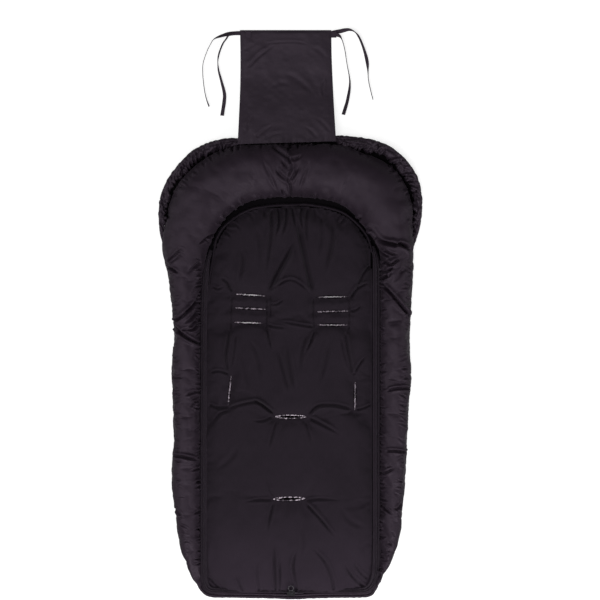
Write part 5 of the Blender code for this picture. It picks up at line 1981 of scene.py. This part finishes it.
    def crease(self, made: bpy.types.Object, inside: Array, outside: Array) -> None:
        """Presses the folds and the small seam puckers into the skin.

        Args:
            made: The roll.
            inside: Its inner seam.
            outside: Its outer edge.
        """
        points, normals = read_points(made), read_normals(made)
        flat = points[:, :2]
        from_inner, _, share_in = line_distance(flat, inside[::4])
        from_outer, _, share_out = line_distance(flat, outside[::4])
        run_in = share_in * travelled(inside)[-1]
        run_out = share_out * travelled(outside)[-1]
        pucker = ripples(run_in, self.seam_puckers) + ripples(run_in + 0.25 * from_inner, self.seam_pleats)
        move = pucker * np.exp(-((from_inner / self.pucker_reach[0]) ** 1.5))
        move += ripples(run_out, self.edge_puckers) * np.exp(-((from_outer / self.pucker_reach[1]) ** 1.5))
        move += swells(flat, self.lumps) + np.abs(swells(flat, self.puffs))
        facing = ease((normals[:, 2] + 0.05) / 0.45)
        large = (move + folded(flat, self.folds)) * (self.side_share + (1 - self.side_share) * facing)
        move = large + folded(flat, self.gathers()) * facing
        move = np.where(move > 0, self.stand * np.tanh(move / self.stand), move)
        upper = ease((points[:, 2] - 0.004) / 0.008)
        points += normals * (move * upper)[:, None]
        points[:, 2] = np.maximum(points[:, 2], BASE_LEVEL)
        write_points(made, points)


@dataclass
class HoodHem:
    """The gathered casing round the hood's edge."""

    # Picture points of its outer edge, from left to right
    line: Line = (
        (162.5, 246), (158.8, 228), (158.2, 210), (160.6, 194), (167.2, 179), (179.3, 162.5), (193.5, 149.7),
        (208.5, 142.2), (224.5, 138.2), (246, 137.5), (270, 137.5), (300, 137), (330, 135.5), (352, 136),
        (375, 140), (393, 147.8), (407.6, 160.8), (417.6, 176.3), (422, 195), (422.2, 211), (420, 228),
        (414.5, 246),
    )
    # Its width seen from above, at shares of its run
    width: Line = ((0.0, 0.007), (0.06, 0.013), (0.2, 0.021), (0.34, 0.023), (0.39, 0.011), (0.58, 0.011),
                   (0.64, 0.024), (0.8, 0.022), (0.94, 0.014), (1.0, 0.007))
    # Its height, likewise
    height: Line = ((0.0, 0.008), (0.07, 0.014), (0.3, 0.022), (0.4, 0.017), (0.58, 0.017), (0.7, 0.022),
                    (0.93, 0.014), (1.0, 0.008))
    gather: float = 0.0088  # Size of one gather
    slant: float = 0.009  # How far gathers run ahead from its inner to its outer edge
    stray: Waves = ((0.003, 0.02, 52),)  # How unevenly
    girth: float = 0.016  # Its reach round the casing, on which gathers are spread
    sewn: float = 0.14  # Share of the gathers left where it is sewn to the hood
    puff: tuple[float, float] = (0.0040, 0.0012)  # Height of large and of small gathers
    full_width: float = 0.016  # Width from which gathers have their full height
    rings: int = 1300  # Cross-sections along it
    around: int = 34  # Points round a cross-section

    def build(self) -> None:
        """Makes the ruffled casing."""
        flat = even(PHOTO.places(self.line), self.rings)
        run = travelled(flat)
        width, tall = (marked(run / run[-1], marks)[:, None] for marks in (self.width, self.height))
        turn = np.linspace(0, 2 * math.pi, self.around, endpoint=False)
        side, up = np.cos(turn)[None], np.sin(turn)[None]
        ahead = run[:, None] + self.slant * side + ripples(run, self.stray)[:, None]
        round_it = np.broadcast_to(self.girth * side, ahead.shape)
        puffs = 2.6 * np.abs(wander_over(ahead, round_it, self.gather, 51)) - 0.9
        small = 2.4 * np.abs(wander_over(ahead, 1.4 * round_it, 0.44 * self.gather, 54)) - 0.8
        free = self.sewn + (1 - self.sewn) * ease((side + 1) / 0.8)
        swell = (self.puff[0] * puffs + self.puff[1] * small) * free * np.minimum(width / self.full_width, 1)
        offset = 0.5 * width + side * (0.5 * width + swell)
        level = BASE_LEVEL + np.maximum(0.5 * tall * (1 + up) + up * swell, 0.0)
        made = swept(flat, -sideways(flat), offset, level, "gathered_hem")
        mount(made, HEM_NYLON, Slot.NYLON, "hood_hem", "hem_elastic")


@dataclass
class FootEdge:
    """The rolled edge across the foot, with the fold of its seam beside it."""

    # Picture points along it, from left to right
    line: Line = (
        (197.5, 584), (200.8, 590), (205.6, 594.7), (214, 597), (240, 597.5), (265, 598), (280, 598.4),
        (294, 598.9), (308, 598.3), (320, 597.8), (345, 597.4), (363.5, 597.2), (371.4, 595.4), (375, 590.4),
        (378.2, 584),
    )
    radius: float = 0.0029
    inset: float = 0.0052  # How far inside it the seam's fold lies
    rise: Waves = ((0.0005, 0.012, 61),)  # How both rise and fall
    puckers: Waves = ((0.13, 0.006, 62), (0.08, 0.0025, 64))  # How their radius changes
    rings: int = 520  # Cross-sections along them

    def build(self) -> None:
        """Makes the roll and the fold, both with shallow puckers."""
        rolls = (("foot_edge", 0.0, 1.0), ("foot_fold", self.inset, 0.85))
        for order, (name, step, size) in enumerate(rolls):
            flat = even(PHOTO.places(self.line), self.rings)
            flat += sideways(flat) * step
            run = travelled(flat)
            level = BASE_LEVEL + self.radius + ripples(run, self.rise, order)
            radius = size * self.radius * (1 + ripples(run, self.puckers, order))
            made = round_tube(np.column_stack([flat, level]), radius, name, 12)
            mount(made, NYLON, Slot.NYLON, "foot_roll")


# The zip


@dataclass
class ZipHalves:
    """Both halves of the zip: tapes, coil teeth and stitching."""

    # Picture points along the left tape's middle, from its top to the foot's middle
    left: Line = (
        (211, 250), (207, 264), (204.8, 284), (203.6, 320), (203.4, 360), (203.4, 420), (203.4, 480),
        (203.4, 540),
        (203.4, 572), (204.6, 583), (208.5, 589.4), (216, 591.2), (240, 591.4), (265, 591.6), (289, 591.8),
    )
    # The same of the right tape
    right: Line = (
        (372.6, 246), (376.2, 262), (376.9, 290), (376.9, 360), (376.9, 420), (376.9, 480), (376.8, 540),
        (376.2, 570), (374, 581.5), (368.4, 589), (360.6, 591.2), (340, 591.4), (316, 591.6), (294, 591.8),
    )
    widths: tuple[float, float] = (0.0136, 0.0160)  # Width of the left and right tape
    level: float = TAPE_LEVEL  # Height of the tapes
    rings: int = 620  # Cross-sections along a tape
    # Share of the width that shows, at shares of the run
    narrowing: Line = ((0, 0.4), (0.06, 1), (0.8, 1), (0.86, 0.5), (1, 0.45))
    # How far a tape lies off its level, likewise
    drop: Line = ((0, -0.002), (0.04, 0), (0.78, 0), (0.845, -0.0056), (1, -0.0058))
    waves: Waves = ((0.0005, 0.016, 71), (0.0002, 0.006, 72))  # How it rises and falls
    waving: Line = ((0.78, 1.0), (0.84, 0.35))  # Share of that which is left, likewise
    # Its cross-section, as shares of half its width and heights
    profile: Line = (
        (-1, -0.0009), (-1, -0.0002), (-0.88, 0.0004), (-0.72, 0.0009), (-0.58, 0.0001), (-0.22, -0.0006),
        (-0.17, 0.0010), (-0.06, 0.0017), (0.06, 0.0017), (0.17, 0.0010), (0.24, -0.0004), (0.46, -0.0001),
        (0.56, 0.0008), (0.66, 0.0008), (0.76, -0.0002), (1.05, -0.0006), (1.40, -0.0036), (1.40, -0.0044),
        (1.0, -0.0014),
    )
    seams: tuple[float, float] = (-0.72, 0.61)  # Where its stitch rows lie, as shares of half its width
    seam_rise: float = 0.0010  # Height of the rows over its middle
    stitch: Triple = (0.0024, 0.0012, 0.0003)  # Length, gap and radius of a stitch
    pitch: float = 0.0022  # Space from tooth to tooth
    ends: tuple[float, float] = (0.010, 0.012)  # Length without teeth at the top and at the foot
    tooth_rise: float = 0.0016  # Height of the teeth over the tape's middle
    tooth_share: float = 0.19  # Half a tooth's length, as a share of half the width
    tooth_radius: float = 0.00070  # Its radius

    def build(self) -> None:
        """Makes both halves."""
        self.half("left", self.left, self.widths[0], -1.0)
        self.half("right", self.right, self.widths[1], 1.0)

    def half(self, side: str, route: Line, width: float, outward: float) -> None:
        """Makes one half.

        Args:
            side: Its name.
            route: Picture points along the tape's middle.
            width: Width of the tape.
            outward: 1 where the line's left is the muff's outside, else -1.
        """
        flat = even(PHOTO.places(route), self.rings)
        run = travelled(flat)
        share = run / run[-1]
        half = 0.5 * width * marked(share, self.narrowing)
        waves = ripples(run, self.waves) * marked(share, self.waving)
        line = np.column_stack([flat, self.level + marked(share, self.drop) + waves])
        across = sideways(flat) * outward
        offset, lift = np.array(self.profile).T
        tape = swept(line, across, half[:, None] * offset, line[:, 2:] + lift, f"tape_{side}")
        mount(tape, TAPE, Slot.TAPE, f"zip_tape_{side}")
        self.teeth(side, line, across, half)
        for number, place in enumerate(self.seams):
            path = np.column_stack([flat + across * (place * half)[:, None], line[:, 2] + self.seam_rise])
            seam = stitches(path, f"tape_stitches_{side}_{number}", *self.stitch)
            mount(seam, THREAD, Slot.TAPE)

    def teeth(self, side: str, line: Array, across: Array, half: Array) -> None:
        """Makes the row of teeth along one tape.

        Args:
            side: The tape's name.
            line: The tape's middle line.
            across: Unit vectors to the muff's outside.
            half: Half the tape's width at each point.
        """
        run = travelled(line)
        at = np.arange(self.ends[0], run[-1] - self.ends[1], self.pitch)
        middle = read_at(at, run, line) + (0, 0, self.tooth_rise)
        reach = read_at(at, run, across) * (self.tooth_share * np.interp(at, run, half))[:, None]
        step = np.column_stack([reach, np.zeros(len(at))])
        rods = [capsule(start, end, self.tooth_radius) for start, end in zip(middle - step, middle + step)]
        mount(joined(f"teeth_{side}", rods), PLASTIC, Slot.MOULDED, f"zip_teeth_{side}")


# The flap


@dataclass
class BackFlap:
    """The flap that hangs behind the hood, one cloth from the hem to its end."""

    # Picture points down its left edge, from the end to the hem
    left: Line = ((239.8, 29.0), (240.2, 55), (240, 85), (239, 115), (238, 138), (237.6, 144.5))
    # The same of its right edge
    right: Line = ((331.4, 29.0), (331.8, 55), (332.8, 80), (334, 105), (335.4, 130), (336, 141.5))
    columns: int = 120  # Points across it
    rows: int = 150  # Points along it
    cut_width: float = 0.184  # Width that the cloth was cut to
    flat_size: tuple[float, float] = (0.18, 0.2226)  # Width and length that its seams are measured on
    side_seam: float = 0.012  # Distance from a side over which it grows soft
    end_seam: float = 0.03  # The same from its end, as a share of its length
    thickness: float = 0.0012  # Height of its face over what it lies on, at a seam
    softness: float = 0.0016  # What is added away from the seams
    thin: float = 0.0005  # Least height of its face
    above: float = 0.0008  # What its face lies above that
    under: float = 0.0003  # Height of its back
    # Y at which it starts to bend with its joint, and at which it has turned
    bend: tuple[float, float] = (0.3515, 0.3625)
    # How it waves
    lumps: PlaneWaves = (
        (0.0012, 1.0, 1.0, 0.05, 81), (0.0009, 1.0, 0.7, 0.018, 82), (0.0004, 0.8, 1.0, 0.008, 84),
    )
    gathers: tuple[float, int] = (0.0052, 83)  # Length and seed of the gathers at the hem
    gather_rise: float = 0.0009  # Their height
    gather_reach: float = 0.012  # How far they reach
    climb_rows: tuple[float, float] = (70, 141)  # Picture rows at which it starts to climb the hem and is up
    crest: float = 0.0225  # How high it climbs
    seam_level: float = 0.0026  # Height of the stitches
    seam_insets: tuple[float, float] = (0.0030, 0.0088)  # How far inside its sides they run
    seam_points: tuple[int, int] = (6, 128)  # First and last point of a side that they follow
    casing_rows: tuple[float, float] = (31.0, 39.2)  # Picture rows of the casing's stitches
    casing_columns: tuple[float, float] = (241.5, 330.0)  # Picture columns between which they run
    stitch: Triple = (0.0026, 0.0013, 0.00028)  # Length, gap and radius of a stitch
    folds: Sequence[Fold] = (
        Fold([(247, 68), (258, 56), (275, 43)], 0.0018, 0.0030, (0.2, 0.4), 0.6, 0.3),
        Fold([(243, 50), (249, 46), (257, 42)], 0.0006, 0.0030, (0.2, 0.4)),
        Fold([(282, 72), (298, 79), (316, 96)], 0.0010, 0.0050, (0.3, 0.4), 0.5, 0.3),
        Fold([(268, 88), (280, 82), (292, 86)], 0.0006, 0.0040, (0.3, 0.4), 0.5),
        Fold([(328, 58), (320, 50), (310, 45)], 0.0005, 0.0040, (0.2, 0.4)),
        Fold([(324, 76), (322.6, 86), (323, 97)], 0.0016, 0.0022, (0.3, 0.3)),
        Fold([(247, 132), (249, 122), (253, 113)], 0.0014, 0.0026, (0.2, 0.5)),
        Fold([(256, 138), (264, 131), (274, 124)], 0.0015, 0.0030, (0.1, 0.5), 0.5, 0.4),
        Fold([(264, 140), (273, 135), (284, 132.5)], 0.0010, 0.0028, (0.1, 0.5), 0.5, 0.3),
        Fold([(330, 132), (322, 122), (312, 116)], 0.0006, 0.0032, (0.1, 0.5)),
        Fold([(318, 139), (310, 130), (302, 126)], 0.0006, 0.0030, (0.1, 0.5)),
        Fold([(262, 42.5), (285, 41), (300, 41.5), (312, 45)], 0.0005, 0.0020, (0.3, 0.3), 0.5),
    )

    def build(self) -> None:
        """Makes the cloth, its casing stitches and its side seams."""
        start, end = even(PHOTO.places(self.left), self.rows), even(PHOTO.places(self.right), self.rows)
        share = np.linspace(0, 1, self.columns)
        flat = start[:, None] * (1 - share)[None, :, None] + end[:, None] * share[None, :, None]
        points = flat.reshape(-1, 2)
        down = np.repeat(np.linspace(0, 1, self.rows), self.columns)
        across = np.tile(share, self.rows)
        from_side = np.minimum(across, 1 - across) * self.flat_size[0]
        soft = ease(from_side / self.side_seam) * ease(down / self.end_seam)
        lift = self.thickness + self.softness * soft + folded(points, self.folds) * (0.35 + 0.65 * soft)
        lift += swells(points, self.lumps) * soft
        sewn = np.exp(-(((1 - down) * self.flat_size[1] / self.gather_reach) ** 1.3))
        gathers = self.gather_rise * wander(points[:, 0] + 1.0, *self.gathers) * sewn
        climb = self.climb(points)
        top = climb + np.maximum(lift, self.thin) + gathers + self.above
        count = len(points)
        faces = grid_faces(self.rows, self.columns)
        made = new_mesh("flap_cloth", np.vstack([np.column_stack([points, top]),
                                                 np.column_stack([points, climb + self.under])]),
                        [*faces.tolist(), *(faces[:, ::-1] + count).tolist(), *self.walls(count)])
        turn_outwards(made)
        dress(made, FLAP_NYLON_LIT)
        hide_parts("flap_panel", "flap_lining", "flap_root", "flap_casing")
        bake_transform(made)
        self.seams(start, end)

    def walls(self, count: int) -> list[list[int]]:
        """Faces that close the cloth's four edges.

        Args:
            count: Points in one of its two layers.

        Returns:
            The faces.
        """
        rows, columns = self.rows, self.columns
        bottom = list(range(columns))
        right = [row * columns + columns - 1 for row in range(1, rows)]
        top = [(rows - 1) * columns + column for column in range(columns - 2, -1, -1)]
        left = [row * columns for row in range(rows - 2, 0, -1)]
        loop = bottom + right + top + left
        return [[a, b, b + count, a + count] for a, b in zip(loop, loop[1:] + loop[:1])]

    def climb(self, points: Array) -> Array:
        """Height of what lies under the flap: the floor, then the hem that it climbs."""
        foot, crest = (PHOTO.places([(0, row)])[0][1] for row in self.climb_rows)
        return self.crest * ease((foot - points[:, 1]) / (foot - crest))

    def seams(self, start: Array, end: Array) -> None:
        """Sews the side seams and the casing.

        Args:
            start: The left edge.
            end: The right edge.
        """
        lines: dict[str, Array] = {}
        for number, step in enumerate(self.seam_insets):
            for side, edge, inward in (("left", start, step), ("right", end, -step)):
                lines[f"flap_stitches_{side}_{number}"] = edge[slice(*self.seam_points)] + (inward, 0.0)
        for number, row in enumerate(self.casing_rows):
            columns = np.linspace(*self.casing_columns, 60)
            lines[f"casing_stitches_{number}"] = PHOTO.places([(column, row) for column in columns])
        for name, path in lines.items():
            raised = np.column_stack([path, np.full(len(path), self.seam_level)])
            mount(stitches(raised, name, *self.stitch), THREAD, Slot.NYLON, body=Body.FLAP)


# Pieces shown as packed


def dress_packed() -> None:
    """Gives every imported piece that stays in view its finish."""
    finishes: dict[str, tuple[Finish, Slot]] = {
        "tie_tack": (RIBBON, Slot.TAPE),
        "zip_slider": (METAL, Slot.METAL),
        "zip_pull": (RING, Slot.METAL),
        "zip_top_stop": (PLASTIC, Slot.MOULDED),
        "zip_retaining_box": (PLASTIC, Slot.MOULDED),
        "zip_insertion_pin": (PLASTIC, Slot.MOULDED),
    }
    for node in bpy.data.objects:
        for name, (finish, slot) in finishes.items():
            if node.type == "MESH" and node.name.startswith(name):
                dress(node, finish)


def report(known: set[str]) -> None:
    """Logs each piece made since the last report.

    Args:
        known: Names of the pieces reported, which the new ones join.
    """
    for made in bpy.data.objects:
        if made.type == "MESH" and made.name not in known:
            known.add(made.name)
            LOG.info("%s: %d faces", made.name, len(made.data.polygons))


def main() -> None:
    """Builds the photograph and reports each piece."""
    logging.basicConfig(level=logging.INFO, format="%(message)s")
    known: set[str] = set()
    slots = HarnessSlots()
    Studio().build()
    TieTails().build()
    BackShell().build(slots)
    level = LinerPad().build(slots)
    report(known)
    slots.build(level)
    for assembly in (LinerPiping(), PuffyRim(), HoodHem(), FootEdge(), ZipHalves(), BackFlap()):
        assembly.build()
        report(known)
    dress_packed()


if __name__ == "__main__":
    main()
